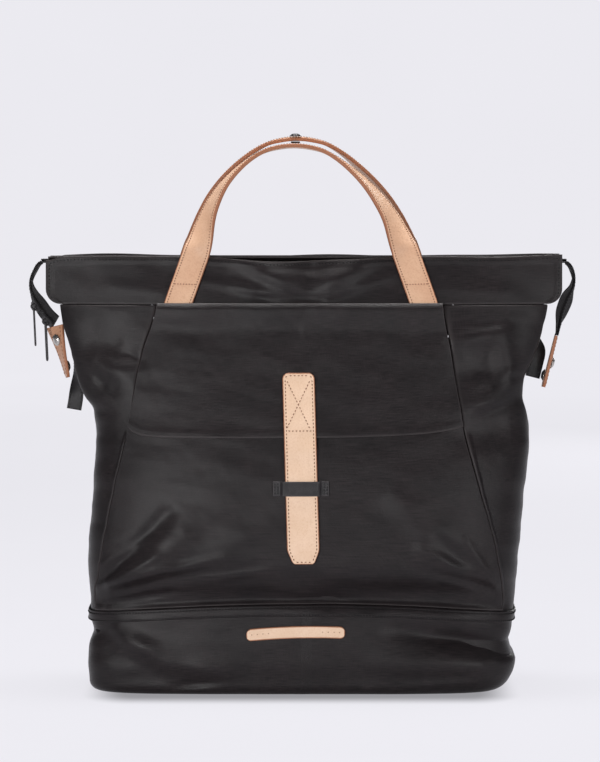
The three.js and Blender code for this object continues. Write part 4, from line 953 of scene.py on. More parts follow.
# How the two handles differ. spread: share of the feet's spread. drift: how far the crown
# leans to the right. higher: how far the crown lies above the front one's.
HANDLES = {
    "front": {"spread": 1, "drift": -6.5, "higher": 0},
    "back": {"spread": 1.02, "drift": -4, "higher": CROWN_STEP},
}
CROWN_X = (HANDLES["front"]["drift"] + HANDLES["back"]["drift"]) / 2
CROWN_TOP = BODY_HEIGHT + HANDLE_RISE + CROWN_STEP + HANDLE_THICK / 2


def handle_rows(facing):
    own = HANDLES[face_name(facing)]
    crown = BODY_HEIGHT + HANDLE_RISE + own["higher"]
    half = []
    for values in HANDLE_TABLE:
        row = dict(zip(HANDLE_NAMES, values))
        x = -HANDLE_SPREAD * own["spread"] * row["out"]
        z = mix(HANDLE_FOOT, crown, row["up"])
        depth = float(yoke_depth(x, min(z, BODY_HEIGHT))) + WRAP_GAP + HANDLE_THICK / 2
        if row["lean"] is not None:
            depth = mix(depth, CROWN_DEPTH, row["lean"])
        half.append((x, facing * depth, z, -facing * row["turn"]))
    whole = half + [(-x, y, z, roll) for x, y, z, roll in reversed(half[:-1])]
    rows = []
    for x, y, z, roll in whole:
        rise = float(smooth((z - BODY_HEIGHT) / (DRIFT_OVER * HANDLE_RISE)))
        rows.append((x + own["drift"] * rise, y, z, roll))
    return rows


LEATHER_STITCH_INSET = 2.7
HANDLE_SLANT = 16  # lean of the handle's legs, so that the cross row lies level
CROSS_ROW = 1.75  # place of the cross row along the handle's rows


def build_handle(facing, finish, thread):
    label = face_name(facing)
    rows = handle_rows(facing)
    section = strap_section(HANDLE_WIDTH, HANDLE_THICK, 1.1)
    piece = sweep(f"handle_leather_{label}", rows, section)
    dress(piece, finish, "leather", f"handle_{label}")
    edge = HANDLE_WIDTH / 2 - LEATHER_STITCH_INSET
    lines = [line_on(rows, side * edge, HANDLE_THICK / 2) for side in (-1, 1)]
    slope = math.tan(math.radians(HANDLE_SLANT))
    across = np.linspace(-edge, edge, 40)
    foot = ribbon_frames(rows, np.array([2.0, 2.01]))[0]
    per_row = np.linalg.norm(foot[1] - foot[0]) / 0.01
    for side, at in ((1, CROSS_ROW), (-1, len(rows) - 1 - CROSS_ROW)):
        places = at - side * across * slope / per_row
        middle, _, width, out = ribbon_frames(rows, places)
        lines.append((middle + width * across[:, None] + out * HANDLE_THICK / 2, out))
    sew(f"handle_stitches_{label}", lines, thread, **SEWING["handle"])


# Lift of what lies on the pocket, on the flap, and of the closure strap in between
ON_POCKET = GAP + CLOTH + LAY_GAP
ON_FLAP = FLAP_OFFSET + CLOTH + LAY_GAP


def strap_lift(z):
    return mix(ON_POCKET, ON_FLAP, smooth((z - FLAP_BOTTOM + 1.3 * STRAP_STEP) / STRAP_STEP))


def on_front(x, z, offset):
    return skin(station_at(x, z), z, offset)


STRAP_FOOT_CORNER = 4.0
STRAP_TIP_WIDTH = 0.7  # share of the width left at the strap's lower end


def strap_half(z):
    tip = smooth((z - STRAP_BOTTOM) / (3.4 * STRAP_TIP))
    top = corner_inset(STRAP_TOP - z, STRAP_CORNER)
    low = corner_inset(z - STRAP_BOTTOM, STRAP_FOOT_CORNER)
    return STRAP_WIDTH / 2 * mix(STRAP_TIP_WIDTH, 1.0, tip) - top - low


def strap_centre(z):
    return mix(STRAP_DRIFT, -STRAP_DRIFT, (z - STRAP_BOTTOM) / STRAP_LENGTH)


# Stitches of the closure strap: a row round its edge, a cross over the flap, and level rows
# as (height, half width).
STRAP_SEAM = 2.5
CROSS_HALF = 10.8
CROSS_TOP = 7
CROSS_FOOT = 51
STRAP_SEAM_ROWS = [
    (STRAP_TOP - STRAP_SEAM, 9.0),
    (STRAP_TOP - CROSS_FOOT - 2, 11.5),
    (STRAP_BOTTOM + STRAP_SEAM, 7.5),
]


def build_closure(finish, thread):
    def place(a, b, out):
        z = mix(STRAP_BOTTOM, STRAP_TOP, b)
        x = strap_centre(z) + (2 * a - 1) * strap_half(z)
        return on_front(x, z, strap_lift(z) + out)

    size = {"width": STRAP_WIDTH, "height": STRAP_LENGTH, "thick": LEATHER}
    piece = cloth("closure_leather", place, step=2.2, round_by=0.7, **size)
    dress(piece, finish, "leather", "closure_strap")
    t = np.linspace(0, 1, 500)
    lines = []

    def sew_along(x, z):
        lines.append(seam_on(lambda lift: on_front(x, z, strap_lift(z) + lift), LEATHER + 0.05))

    corner_z = STRAP_TOP - STRAP_CORNER
    bend = STRAP_CORNER - STRAP_SEAM
    for side in (-1, 1):
        z = mix(STRAP_BOTTOM + STRAP_SEAM + 1, corner_z, t)
        sew_along(strap_centre(z) + side * (strap_half(z) - STRAP_SEAM), z)
        across = STRAP_WIDTH / 2 - STRAP_CORNER + bend * np.cos(t * math.pi / 2)
        sew_along(strap_centre(corner_z) + side * across, corner_z + bend * np.sin(t * math.pi / 2))
        across = side * mix(CROSS_HALF, -CROSS_HALF, t)
        sew_along(strap_centre(STRAP_TOP) + across, STRAP_TOP - mix(CROSS_TOP, CROSS_FOOT, t))
    for level, half in STRAP_SEAM_ROWS:
        z = np.full(len(t), level)
        sew_along(strap_centre(z) + mix(-half, half, t), z)
    sew("closure_stitches", lines, thread, **SEWING["closure"])


KEEPER_SEAMS = (1.8, 4.6)  # the stitch rows' distances from the keeper's ends


def build_keeper(finish, thread):
    low = KEEPER_AT - KEEPER_HEIGHT / 2

    def lift(x, z):
        over = 1 - smooth((np.abs(x) - STRAP_WIDTH / 2 - 1.8) / 2.2)
        return mix(ON_POCKET - 0.4, strap_lift(z) + LEATHER + 0.4, over)

    def place(a, b, out):
        x = KEEPER_WIDTH * (a - 0.5)
        z = low + KEEPER_HEIGHT * b
        return on_front(x, z, lift(x, z) + out)

    size = {"width": KEEPER_WIDTH, "height": KEEPER_HEIGHT, "thick": KEEPER_THICK}
    piece = cloth("keeper_leather", place, step=1.2, round_by=0.6, **size)
    dress(piece, finish, "black_leather", "strap_keeper")
    lines = []
    t = np.linspace(0, 1, 60)
    for side in (-1, 1):
        for inset in KEEPER_SEAMS:
            x = np.full(len(t), side * (KEEPER_WIDTH / 2 - inset))
            z = mix(low + 1.2, low + KEEPER_HEIGHT - 1.2, t)
            lines.append(seam_on(lambda up: on_front(x, z, lift(x, z) + up), KEEPER_THICK))
    sew("keeper_stitches", lines, thread, **SEWING["keeper"])


def build_plate(finish, thread):
    def spot(x_share, up, offset):
        x = PLATE_SHIFT + x_share * PLATE_WIDTH / 2
        z = PLATE_AT + PLATE_BOW * (0.5 - x_share**2) + PLATE_TILT * x_share + up
        return on_front(x, z, offset)

    def place(a, b, out):
        share = 2 * a - 1
        inset = corner_inset((1 - np.abs(share)) * PLATE_WIDTH / 2, PLATE_CORNER)
        half = PLATE_HEIGHT / 2 - inset
        return spot(share, half * (2 * b - 1), LAY_GAP + out)

    size = {"width": PLATE_WIDTH, "height": PLATE_HEIGHT, "thick": PLATE_THICK}
    piece = cloth("plate_leather", place, step=1.4, round_by=0.6, **size)
    dress(piece, finish, "leather", "name_plate")
    lines = []
    for at in PLATE_HOLES:
        for side in (-1, 1):
            share = (side * at + np.array([-0.5, 0.5]) * PLATE_HOLE) / (PLATE_WIDTH / 2)
            lines.append(seam_on(lambda lift: spot(share, 0, lift), LAY_GAP + PLATE_THICK))
    sew("plate_holes", lines, thread, **SEWING["plate_hole"])


# Zip
LEFT_END = TOP_SHIFT - TOP_WIDTH / 2
RIGHT_END = TOP_SHIFT + TOP_WIDTH / 2
TAPE_LEVEL = BODY_HEIGHT - TAPE_DROP
TAB_TOP = BODY_HEIGHT - TAPE_FALL * YOKE_HEIGHT
ZIP_END_NAMES = ("out", "ahead", "down", "roll")
ZIP_ENDS = {
    "left": [
        (-0.5, 0.35, 1.04, -36),
        (-0.02, 0.3, 0.91, -36),
        (0.42, 0.22, 0.74, -34),
        (0.8, 0.12, 0.56, -22),
        (0.92, 0.05, 0.36, -6),
        (0.7, 0, 0.17, 0),
        (0.3, 0, 0.03, 0),
        (-0.75, 0, 0, 0),
    ],
    "right": [
        (-0.75, 0, 0, 0),
        (0.33, 0, 0.04, 0),
        (0.7, 0, 0.22, -2),
        (0.68, 0.02, 0.43, -14),
        (0.4, 0.06, 0.63, -32),
        (0.08, 0.11, 0.86, -30),
        (-0.13, 0.15, 1.07, -14),
        (-0.28, 0.19, 1.25, -4),
    ],
}


def zip_rows():
    rows = []
    for side, end in ((-1, LEFT_END), (1, RIGHT_END)):
        for values in ZIP_ENDS[side_name(side)]:
            row = dict(zip(ZIP_END_NAMES, values))
            x = end + side * row["out"] * ZIP_REACH
            z = mix(TAPE_LEVEL, TAB_TOP, row["down"])
            rows.append((x, -row["ahead"] * TAPE_WIDTH, z, row["roll"]))
        if side < 0:
            rows += [(mix(LEFT_END, RIGHT_END, share), 0, TAPE_LEVEL, 0) for share in (0.35, 0.65)]
    return rows


ZIP_ROWS = zip_rows()
COIL_LIFT = LAY_GAP
SLIDER_LIFT = COIL_LIFT + COIL_THICK + GAP
BRIDGE_LIFT = SLIDER_LIFT + SLIDER_THICK / 2 + 0.45 * SLIDER_THICK


# A zip tooth across the coil: (place as a share of half the coil, share of its thickness).
TOOTH_PROFILE = [(-0.1, 0.6), (0.15, 1.0), (0.8, 1.0), (1.0, 0.7)]
TOOTH_PITCH = 1.5
TOOTH_LONG = 0.62  # half its length along the zip
TOOTH_SIDES = 6


def build_zip(tape, teeth):
    section = strap_section(TAPE_WIDTH, TAPE_THICK, 0.5)
    piece = sweep("zip_tape_cloth", ZIP_ROWS, section, step=2.4, offset=-TAPE_THICK / 2)
    dress(piece, tape, "webbing", "zip_tape")
    fine = np.linspace(0, len(ZIP_ROWS) - 1, 3000)
    run = run_along(ribbon_frames(ZIP_ROWS, fine)[0])
    at = np.interp(np.arange(int(run[-1] / TOOTH_PITCH)) * TOOTH_PITCH, run, fine)
    turn = 2 * math.pi * np.arange(TOOTH_SIDES) / TOOTH_SIDES
    points, faces = [], []
    for k, (middle, along, width, out) in enumerate(zip(*ribbon_frames(ZIP_ROWS, at))):
        side = 1 if k % 2 else -1
        first = len(points)
        round_it = TOOTH_LONG * np.outer(np.cos(turn), along)
        round_it = round_it + COIL_THICK / 2 * np.outer(np.sin(turn), out)
        for across, size in TOOTH_PROFILE:
            centre = middle + width * side * across * COIL_WIDTH / 2
            points += list(centre + out * (COIL_LIFT + COIL_THICK / 2) + size * round_it)
        for face in tube_faces(len(TOOTH_PROFILE), TOOTH_SIDES):
            faces.append([first + corner for corner in face])
    dress(make_piece("zip_teeth", points, faces), teeth, "plastic", "zip_coil")
    high = COIL_LIFT + 0.8 * COIL_THICK
    core = strap_section(0.9 * COIL_WIDTH, high, 0.5)
    dress(sweep("zip_core", ZIP_ROWS, core, step=2.4, offset=high / 2 + 0.03), tape, "webbing")


def build_zip_gusset(facing, finish):
    label = face_name(facing)
    half = TOP_WIDTH / 2 - CLOTH

    def place(a, b, out):
        x = TOP_SHIFT + half * (2 * a - 1)
        top = np.full(np.shape(x), float(BODY_HEIGHT))
        dent = np.minimum(0, relief(x, top, FOLDS))
        wall = yoke_depth(x, BODY_HEIGHT) - CLOTH - 2 * SEAM_GAP + dent
        inner = TAPE_WIDTH / 2 - GUSSET_LAP
        y = mix(inner, np.maximum(wall, inner + GUSSET_LAP / 3), b)
        z = BODY_HEIGHT - TAPE_DROP + SEAM_GAP + 0.45 * TAPE_DROP * b + out
        return np.stack([x, facing * y, z], -1)

    name = f"zip_gusset_cloth_{label}"
    size = {"width": 2 * half, "height": ZIP_GUSSET_WIDE, "thick": TAPE_THICK}
    piece = cloth(name, place, step=4, round_by=0.5, **size)
    dress(piece, finish, "canvas", f"zip_gusset_{label}")


def build_gusset_top(side, finish):
    label = side_name(side)
    end = TOP_SHIFT * side + TOP_WIDTH / 2 - YOKE_CORNER
    low = YOKE_BOTTOM + SEAM_GAP / 2
    high = BODY_HEIGHT - TAPE_DROP - TAPE_THICK - SEAM_GAP

    def place(a, b, out):
        z = mix(low, high, b)
        room = yoke_depth(side * end, z) - CLOTH - SEAM_GAP
        fold = 1 - np.abs(2 * a - 1) ** 1.15
        x = side * (end - GUSSET_FOLD * fold - CLOTH + out)
        return np.stack([x, room * (2 * a - 1), z], -1)

    piece = cloth(f"gusset_cloth_{label}", place, 52, high - low, step=3)
    dress(piece, finish, "canvas", f"gusset_top_{label}")


# Copies a CAD node with its edges rounded.
def soften(node, name, width, finish, slot):
    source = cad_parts[node]
    copy = add_object(name, source.data.copy())
    copy.matrix_world = source.matrix_world
    weld = copy.modifiers.new("weld", "WELD")
    weld.merge_threshold = 0.02 * MM
    bevel = copy.modifiers.new("round", "BEVEL")
    bevel.width = width * MM
    bevel.segments = 3
    bevel.angle_limit = math.radians(30)
    bevel.harden_normals = False
    settle(copy)
    copy.data.shade_smooth()
    return dress(copy, finish, slot, node)


# Turns a piece's modifiers into its mesh.
def settle(piece):
    graph = bpy.context.evaluated_depsgraph_get()
    graph.update()
    mesh = bpy.data.meshes.new_from_object(piece.evaluated_get(graph))
    piece.modifiers.clear()
    piece.data = mesh
    piece.data.name = piece.name


# Round cap with a lip: shares of its width and of its height, from its foot to its crown.
CAP_PROFILE = [
    (0.0, 0.0),
    (0.46, 0.0),
    (0.5, 0.1),
    (0.5, 0.24),
    (0.47, 0.34),
    (0.42, 0.37),
    (0.4, 0.44),
    (0.37, 0.66),
    (0.3, 0.84),
    (0.2, 0.95),
    (0.1, 0.99),
    (0.0, 1.0),
]
CAP_SIDES = 40


def build_cap(name, foot, width, out, finish, slot, node):
    turn = 2 * math.pi * np.arange(CAP_SIDES) / CAP_SIDES
    spokes = np.outer(np.cos(turn), width) + np.outer(np.sin(turn), np.cross(out, width))
    points = []
    for share, up in CAP_PROFILE:
        centre = foot + out * up * SNAP_HEIGHT
        points += list(centre + spokes * share * SNAP_WIDTH) if share else [centre]
    faces = spindle_faces(0, len(CAP_PROFILE) - 2, CAP_SIDES)
    dress(outward(make_piece(name, points, faces)), finish, slot, node)


def build_cap_on(name, rows, at, face, finish, slot, node):
    middle, _, width, out = (v[0] for v in ribbon_frames(rows, np.array([at])))
    out = out * face
    build_cap(name, middle + out * (LEATHER / 2 + LAY_GAP), width, out, finish, slot, node)


# Wire loop that hangs from a slider's bridge.
def build_pull(k, at, finish):
    middle, _, width, out = (v[0] for v in ribbon_frames(ZIP_ROWS, np.array([float(at)])))
    down = np.array([0.0, 0.0, -1.0])
    down = unit(down - PULL_TURN * width * (down @ width))
    flat = unit(np.cross(down, out))
    yaw = math.radians(PULL_YAW)
    width = flat * math.cos(yaw) + np.cross(flat, down) * math.sin(yaw)
    face = np.cross(width, down)
    r, straight = PULL_WIDTH / 2, PULL_LENGTH - PULL_WIDTH
    top = middle + out * BRIDGE_LIFT + down * r
    turn = np.linspace(0, math.pi, 14)
    across = r * np.concatenate([np.cos(turn), -np.cos(turn)])
    depth = np.concatenate([-r * np.sin(turn), straight + r * np.sin(turn)])
    path = top + np.outer(across, width) + np.outer(depth, down)
    ahead = unit(np.roll(path, -1, 0) - np.roll(path, 1, 0))
    sides = 12
    faces = np.tile(face, (len(path), 1))
    points = tube_points(path, np.cross(faces, ahead), faces, PULL_WIRE / 2, sides)
    index = np.arange(len(points)).reshape(len(path), sides)
    index = np.concatenate([index, index[:, :1]], 1)
    index = np.concatenate([index, index[:1]], 0)
    piece = outward(make_piece(f"pull_wire_{k}", points, grid_faces(index)))
    dress(piece, finish, "dark_metal", f"zip_pull_{k}")


# How the tabs turn from their top to their end.
TAB_ROLLS = {"left": (238, 214, 200, 192), "right": (-4, -3, -2, 0)}


def tab_rows(side):
    label = side_name(side)
    x, y, z, _ = ZIP_ROWS[0] if side < 0 else ZIP_ROWS[-1]
    rows = []
    for k, roll in enumerate(TAB_ROLLS[label]):
        share = k / (len(TAB_ROLLS[label]) - 1)
        low = z - TAB_JOIN[label] - TAB_LENGTH * share
        rows.append((x - side * TAB_LEAN * share, y - TAB_BACK * share, low, roll))
    return rows


# Caps on the tabs: name, place along the tab's rows, and 1 for its outer face or -1 for its
# inner one.
TAB_CAPS = {
    "left": [("rivet", 0.8, 1), ("snap", 2.3, -1)],
    "right": [("rivet", 1.55, 1), ("snap", 2.3, -1)],
}


def build_tab(side, leather, thread):
    label = side_name(side)
    rows = tab_rows(side)

    def narrowing(distance, length):
        last = smooth((distance - length + 5) / 5)
        return 1 - 0.16 * distance / length - 0.3 * last**2, np.ones(len(distance))

    section = strap_section(TAB_WIDTH, LEATHER, 0.8)
    piece = sweep(f"tab_leather_{label}", rows, section, step=1.2, shape=narrowing)
    dress(piece, leather, "leather", f"zip_tab_{label}")
    edge = TAB_WIDTH / 2 - 3.4
    lines = [line_on(rows, s * edge, LEATHER / 2, 0.1, 2.75) for s in (-1, 1)]
    sew(f"tab_stitches_{label}", lines, thread, **SEWING["tab"])
    return rows


SIDE_STRAP_NAMES = ("inward", "back", "up", "roll")
SIDE_STRAPS = {
    "left": [
        (0.042, 0.3, 0.98, -180),
        (0.052, 0.31, 0.78, -180),
        (0.097, 0.33, 0.44, -176),
        (0.138, 0.29, 0.12, -160),
        (0.15, 0.23, -0.16, -125),
        (0.14, 0.19, -0.4, -97),
        (0.1, 0.19, -0.64, -92),
    ],
    "right": [
        (0.12, 0.26, 1.1, 0),
        (0.1, 0.25, 0.96, -16),
        (0.07, 0.2, 0.7, -62),
        (0.13, 0.17, 0.45, -78),
        (0.2, 0.16, 0.18, -82),
    ],
}


def side_strap_rows(side):
    x, y, z, _ = tab_rows(side)[-1]
    rows = []
    for values in SIDE_STRAPS[side_name(side)]:
        row = dict(zip(SIDE_STRAP_NAMES, values))
        place = (x - side * row["inward"] * TAB_LENGTH, y + row["back"] * TAB_LENGTH)
        rows.append((*place, z + row["up"] * TAB_LENGTH, row["roll"]))
    return rows


def build_side_strap(side, finish, thread):
    label = side_name(side)
    rows = side_strap_rows(side)
    section = strap_section(SIDE_STRAP_WIDTH, SIDE_STRAP_THICK, 0.6)
    piece = sweep(f"side_strap_leather_{label}", rows, section, step=1.5)
    dress(piece, finish, "black_leather", f"side_strap_{label}")
    edge = SIDE_STRAP_WIDTH / 2 - 1.8
    lines = [line_on(rows, s * edge, SIDE_STRAP_THICK / 2, 0.1) for s in (-1, 1)]
    sew(f"side_strap_stitches_{label}", lines, thread, **SEWING["side_strap"])


# Shoulder straps
PAD_NAMES = ("out", "down", "bow", "thick")
PAD_TABLE = [
    (1.0, 0.0, 0, 0.35),
    (1.04, 0.1, 0.32, 0.7),
    (1.14, 0.26, 0.78, 1),
    (1.38, 0.5, 1, 1),
    (1.75, 0.75, 0.8, 1),
    (2.05, 0.93, 0.4, 0.75),
    (2.17, 1.0, 0.22, 0.4),
]


def back_point(x, z, offset):
    return skin(np.where(x < 0, -4, 4) - station_at(x, z), z, offset)


# The back's depth at a place, without its fine folds.
def back_depth(x, z):
    station = (-4 if x < 0 else 4) - station_at(np.array(float(x)), np.array(float(z)))
    return float(section_point(station, np.array(float(z)))[1])


def pad_rows(side):
    rows, thicknesses = [], []
    for values in PAD_TABLE:
        row = dict(zip(PAD_NAMES, values))
        z = mix(PAD_TOP, PAD_TOP - PAD_LENGTH, row["down"])
        x = side * PAD_SPREAD * row["out"]
        thick = row["thick"] * PAD_THICK
        y = back_depth(x, z) + WRAP_GAP + thick / 2 + row["bow"] * PAD_BOW
        rows.append((x, y, z, 90.0))
        thicknesses.append(thick)
    return rows, np.array(thicknesses)


# How a pad swells: the cloth simulation's settings, its frames, the size of the even mesh it
# starts from, and how far a point may move.
STUFFING = {
    "use_pressure": True,
    "uniform_pressure_force": 4.0,
    "quality": 5,
    "tension_stiffness": 20,
    "compression_stiffness": 10,
    "bending_stiffness": 0.4,
}
STUFFING_FRAMES = 20
STUFFING_MESH = 4.5
STUFFING_MOST = 2.5


# Blows a closed piece up like a stuffed cushion.
def inflate(piece):
    even = piece.modifiers.new("even", "REMESH")
    even.mode = "VOXEL"
    even.voxel_size = STUFFING_MESH * MM
    settle(piece)
    before = np.zeros(len(piece.data.vertices) * 3)
    piece.data.vertices.foreach_get("co", before)
    stuffing = piece.modifiers.new("stuffing", "CLOTH")
    for key, value in STUFFING.items():
        setattr(stuffing.settings, key, value)
    stuffing.settings.effector_weights.gravity = 0
    stuffing.point_cache.frame_start = 1
    stuffing.point_cache.frame_end = STUFFING_FRAMES
    scene = bpy.context.scene
    for number in range(1, STUFFING_FRAMES + 1):
        scene.frame_set(number)
    after = np.zeros(len(before))
    graph = bpy.context.evaluated_depsgraph_get()
    piece.evaluated_get(graph).data.vertices.foreach_get("co", after)
    piece.modifiers.clear()
    scene.frame_set(1)
    move = (after - before).reshape(-1, 3)
    far = np.linalg.norm(move, axis=1)[:, None]
    move *= np.minimum(1, STUFFING_MOST * MM / np.maximum(far, 1e-9))
    piece.data.vertices.foreach_set("co", before + move.ravel())
    finer = piece.modifiers.new("smooth", "SUBSURF")
    finer.levels = 1
    settle(piece)
    piece.data.shade_smooth()


PAD_SHRINK = 0.8  # share of its thickness that a pad starts from before it swells
PAD_SIDES = 28
PAD_END = 14  # length over which a pad's ends round off
PIPING = 1.3  # radius of the piping round a pad


def build_pad(side, canvas, binding, thread):
    label = side_name(side)
    rows, thicknesses = pad_rows(side)
    section = []
    for k in range(PAD_SIDES):
        angle = 2 * math.pi * k / PAD_SIDES
        across = abs(math.cos(angle)) ** 0.55 * math.copysign(1, math.cos(angle))
        rise = abs(math.sin(angle)) ** 0.8 * math.copysign(1, math.sin(angle))
        section.append((across * (PAD_WIDTH / 2 - 1.5), rise * 0.5, 0.0))

    def profile(distance, length):
        at = np.linspace(0, len(rows) - 1, len(distance))
        thick = np.interp(at, np.arange(len(rows)), thicknesses)
        ends = np.minimum(distance, length - distance)
        narrow = 0.8 + 0.2 * np.sqrt(np.maximum(0, 1 - np.maximum(0, 1 - ends / PAD_END) ** 2))
        return narrow, thick * PAD_SHRINK

    pad = sweep(f"pad_{label}", rows, np.array(section), step=2.5, shape=profile)
    inflate(pad)
    dress(pad, canvas, "canvas", f"shoulder_pad_{label}")
    edge = PAD_WIDTH / 2 - 0.6
    last = len(rows) - 1
    for s, place in ((-1, "in"), (1, "out")):
        path, _ = line_on(rows, s * edge, 0, 0.25, last - 0.25, 160)
        dress(pipe(f"pad_piping_{label}_{place}", path, PIPING), binding, "webbing")
    crest = [(x, y + t / 2 + 0.6, z, roll) for (x, y, z, roll), t in zip(rows, thicknesses)]
    section = strap_section(WEBBING_WIDTH, WEBBING_THICK, 0.6)
    strip = sweep(f"pad_webbing_{label}", crest, section, step=2.5, start=0.15, stop=last - 0.15)
    dress(strip, binding, "webbing")
    edge = WEBBING_WIDTH / 2 - 2
    lines = [line_on(crest, s * edge, WEBBING_THICK / 2, 0.3, last - 0.3) for s in (-1, 1)]
    sew(f"pad_stitches_{label}", lines, thread, **SEWING["pad"])


# Round piping along a path
def pipe(name, path, radius, sides=10):
    along = unit(np.gradient(path, axis=0))
    side = unit(np.cross(along, np.array([0.0, 1.0, 0.0])))
    points = tube_points(path, side, np.cross(side, along), radius, sides)
    return outward(make_piece(name, points, tube_faces(len(path), sides)))


def webbing_rows(side):
    x0, y0, z0, _ = pad_rows(side)[0][-1]
    low = BASE_HEIGHT + WEBBING_FOOT * BAND_HEIGHT
    x = side * PAD_SPREAD * 2.45
    lowest = (x, back_depth(x, low) + WRAP_GAP + WEBBING_THICK / 2, low, 90.0)
    start = (x0, y0, z0 - 2 * SEAM_GAP, 90.0)
    shares_down = np.array([0.6, 0.72, 0.5])
    middle = mix(np.array(start[:3]), np.array(lowest[:3]), shares_down)
    return [start, (*(middle + [0, WEBBING_THICK, 0]), 90.0), lowest]


def build_webbing(side, finish, plastic):
    label = side_name(side)
    section = strap_section(WEBBING_WIDTH, WEBBING_THICK, 0.6)
    piece = sweep(f"webbing_{label}", webbing_rows(side), section, step=2)
    dress(piece, finish, "webbing", f"strap_webbing_{label}")
    soften(f"strap_adjuster_{label}", f"adjuster_{label}", 0.7, plastic, "plastic")


def build_anchor(finish, thread):
    low = PAD_TOP + ANCHOR_LIFT

    def place(a, b, out):
        x = ANCHOR_WIDTH * (a - 0.5)
        return back_point(x, mix(low, low + ANCHOR_HEIGHT, b), LAY_GAP + out)

    size = {"width": ANCHOR_WIDTH, "height": ANCHOR_HEIGHT, "thick": ANCHOR_THICK}
    piece = cloth("anchor_leather", place, step=2.5, round_by=0.8, **size)
    dress(piece, finish, "black_leather", "back_anchor")
    t = np.linspace(0, 1, 400)
    inset = 3
    half = ANCHOR_WIDTH / 2 - inset
    paths = [(mix(-half, half, t), 0 * t + up) for up in (inset, ANCHOR_HEIGHT - inset)]
    paths += [(0 * t + x, mix(inset, ANCHOR_HEIGHT - inset, t)) for x in (-half, half)]
    lines = []
    for x, up in paths:
        lines.append(seam_on(lambda lift: back_point(x, low + up, LAY_GAP + lift), ANCHOR_THICK))
    sew("anchor_stitches", lines, thread, **SEWING["anchor"])


# A material: its shader, and helpers for the nodes that feed it.
class Finish:
    def __init__(self, name, roughness, metallic=0.0, specular=0.5, sheen=0.0):
        self.material = bpy.data.materials.new(name)
        self.material.use_nodes = True
        self.tree = self.material.node_tree
        self.tree.nodes.clear()
        self.shader = self.add("BsdfPrincipled")
        output = self.add("OutputMaterial")
        self.tree.links.new(self.shader.outputs[0], output.inputs[0])
        self.shader.inputs["Metallic"].default_value = metallic
        self.shader.inputs["Specular IOR Level"].default_value = specular
        self.shader.inputs["Roughness"].default_value = roughness
        if sheen:
            self.shader.inputs["Sheen Weight"].default_value = sheen
            self.shader.inputs["Sheen Roughness"].default_value = 0.45

    def add(self, kind, settings=None, **inputs):
        node = self.tree.nodes.new("ShaderNode" + kind)
        for key, value in (settings or {}).items():
            setattr(node, key, value)
        for key, value in inputs.items():
            self.feed(node.inputs[key], value)
        return node

    def feed(self, socket, value):
        if hasattr(value, "is_output"):
            self.tree.links.new(value, socket)
        else:
            socket.default_value = value

    # Place on the cloth in millimetres, shrunk or stretched by a factor each way.
    def cloth_place(self, across=1.0, up=1.0):
        uv = self.add("TexCoord").outputs["UV"]
        return self.add("Mapping", Vector=uv, Scale=(UV_UNIT * across, UV_UNIT * up, 1)).outputs[0]

    # Place in the object in millimetres.
    def body_place(self):
        place = self.add("TexCoord").outputs["Object"]
        return self.add("Mapping", Vector=place, Scale=(1 / MM, 1 / MM, 1 / MM)).outputs[0]

    # Noise from 0 to 1 with features about size millimetres long.
    def noise(self, place, size, detail=3.0, rough=0.5):
        node = self.add("TexNoise", Vector=place, Scale=1 / size, Detail=detail, Roughness=rough)
        return node.outputs["Fac"]

    # Distance in cells about size millimetres wide, from their middles or their edges.
    def pores(self, place, size, feature):
        node = self.add("TexVoronoi", {"feature": feature}, Vector=place, Scale=1 / size)
        return node.outputs["Distance"]

    def math(self, operation, a, b=0.0):
        node = self.add("Math", {"operation": operation})
        self.feed(node.inputs[0], a)
        self.feed(node.inputs[1], b)
        return node.outputs[0]

    # Maps a value between two bounds onto two others, smoothly.
    def spread(self, value, low, high, to_low=0.0, to_high=1.0):
        node = self.add("MapRange", {"interpolation_type": "SMOOTHSTEP"})
        for socket, given in zip(node.inputs, (value, low, high, to_low, to_high)):
            self.feed(socket, given)
        return node.outputs[0]

    def blend(self, share, a, b):
        node = self.add("Mix", {"data_type": "RGBA"})
        self.feed(node.inputs[0], share)
        self.feed(node.inputs[6], a)
        self.feed(node.inputs[7], b)
        return node.outputs[2]

    def mark(self, name):
        return self.add("Attribute", {"attribute_name": name}).outputs["Fac"]

    # Stacks heights in millimetres into the surface's normal.
    def bumps(self, *heights):
        normal = None
        for height, depth in heights:
            node = self.add("Bump", Height=height, Strength=1.0, Distance=depth * MM)
            if normal is not None:
                self.feed(node.inputs["Normal"], normal)
            normal = node.outputs[0]
        self.feed(self.shader.inputs["Normal"], normal)

    def paint(self, colour):
        self.feed(self.shader.inputs["Base Color"], colour)

    def polish(self, roughness):
        self.feed(self.shader.inputs["Roughness"], roughness)


# Linear colour of a screen colour given from 0 to 255.
def tone(*screen):
    linear = []
    for value in screen:
        share = value / 255
        linear.append(share / 12.92 if share <= 0.04045 else ((share + 0.055) / 1.055) ** 2.4)
    return (*linear, 1.0)


# Plain weave: threads over and under, about pitch millimetres apart.
def weave(finish, pitch):
    parts = finish.add("SeparateXYZ", Vector=finish.cloth_place())
    turn = 2 * math.pi / pitch
    across = finish.math("SINE", finish.math("MULTIPLY", parts.outputs[0], turn))
    up = finish.math("SINE", finish.math("MULTIPLY", parts.outputs[1], turn))
    return finish.math("MULTIPLY_ADD", finish.math("MULTIPLY", across, up), 0.5)


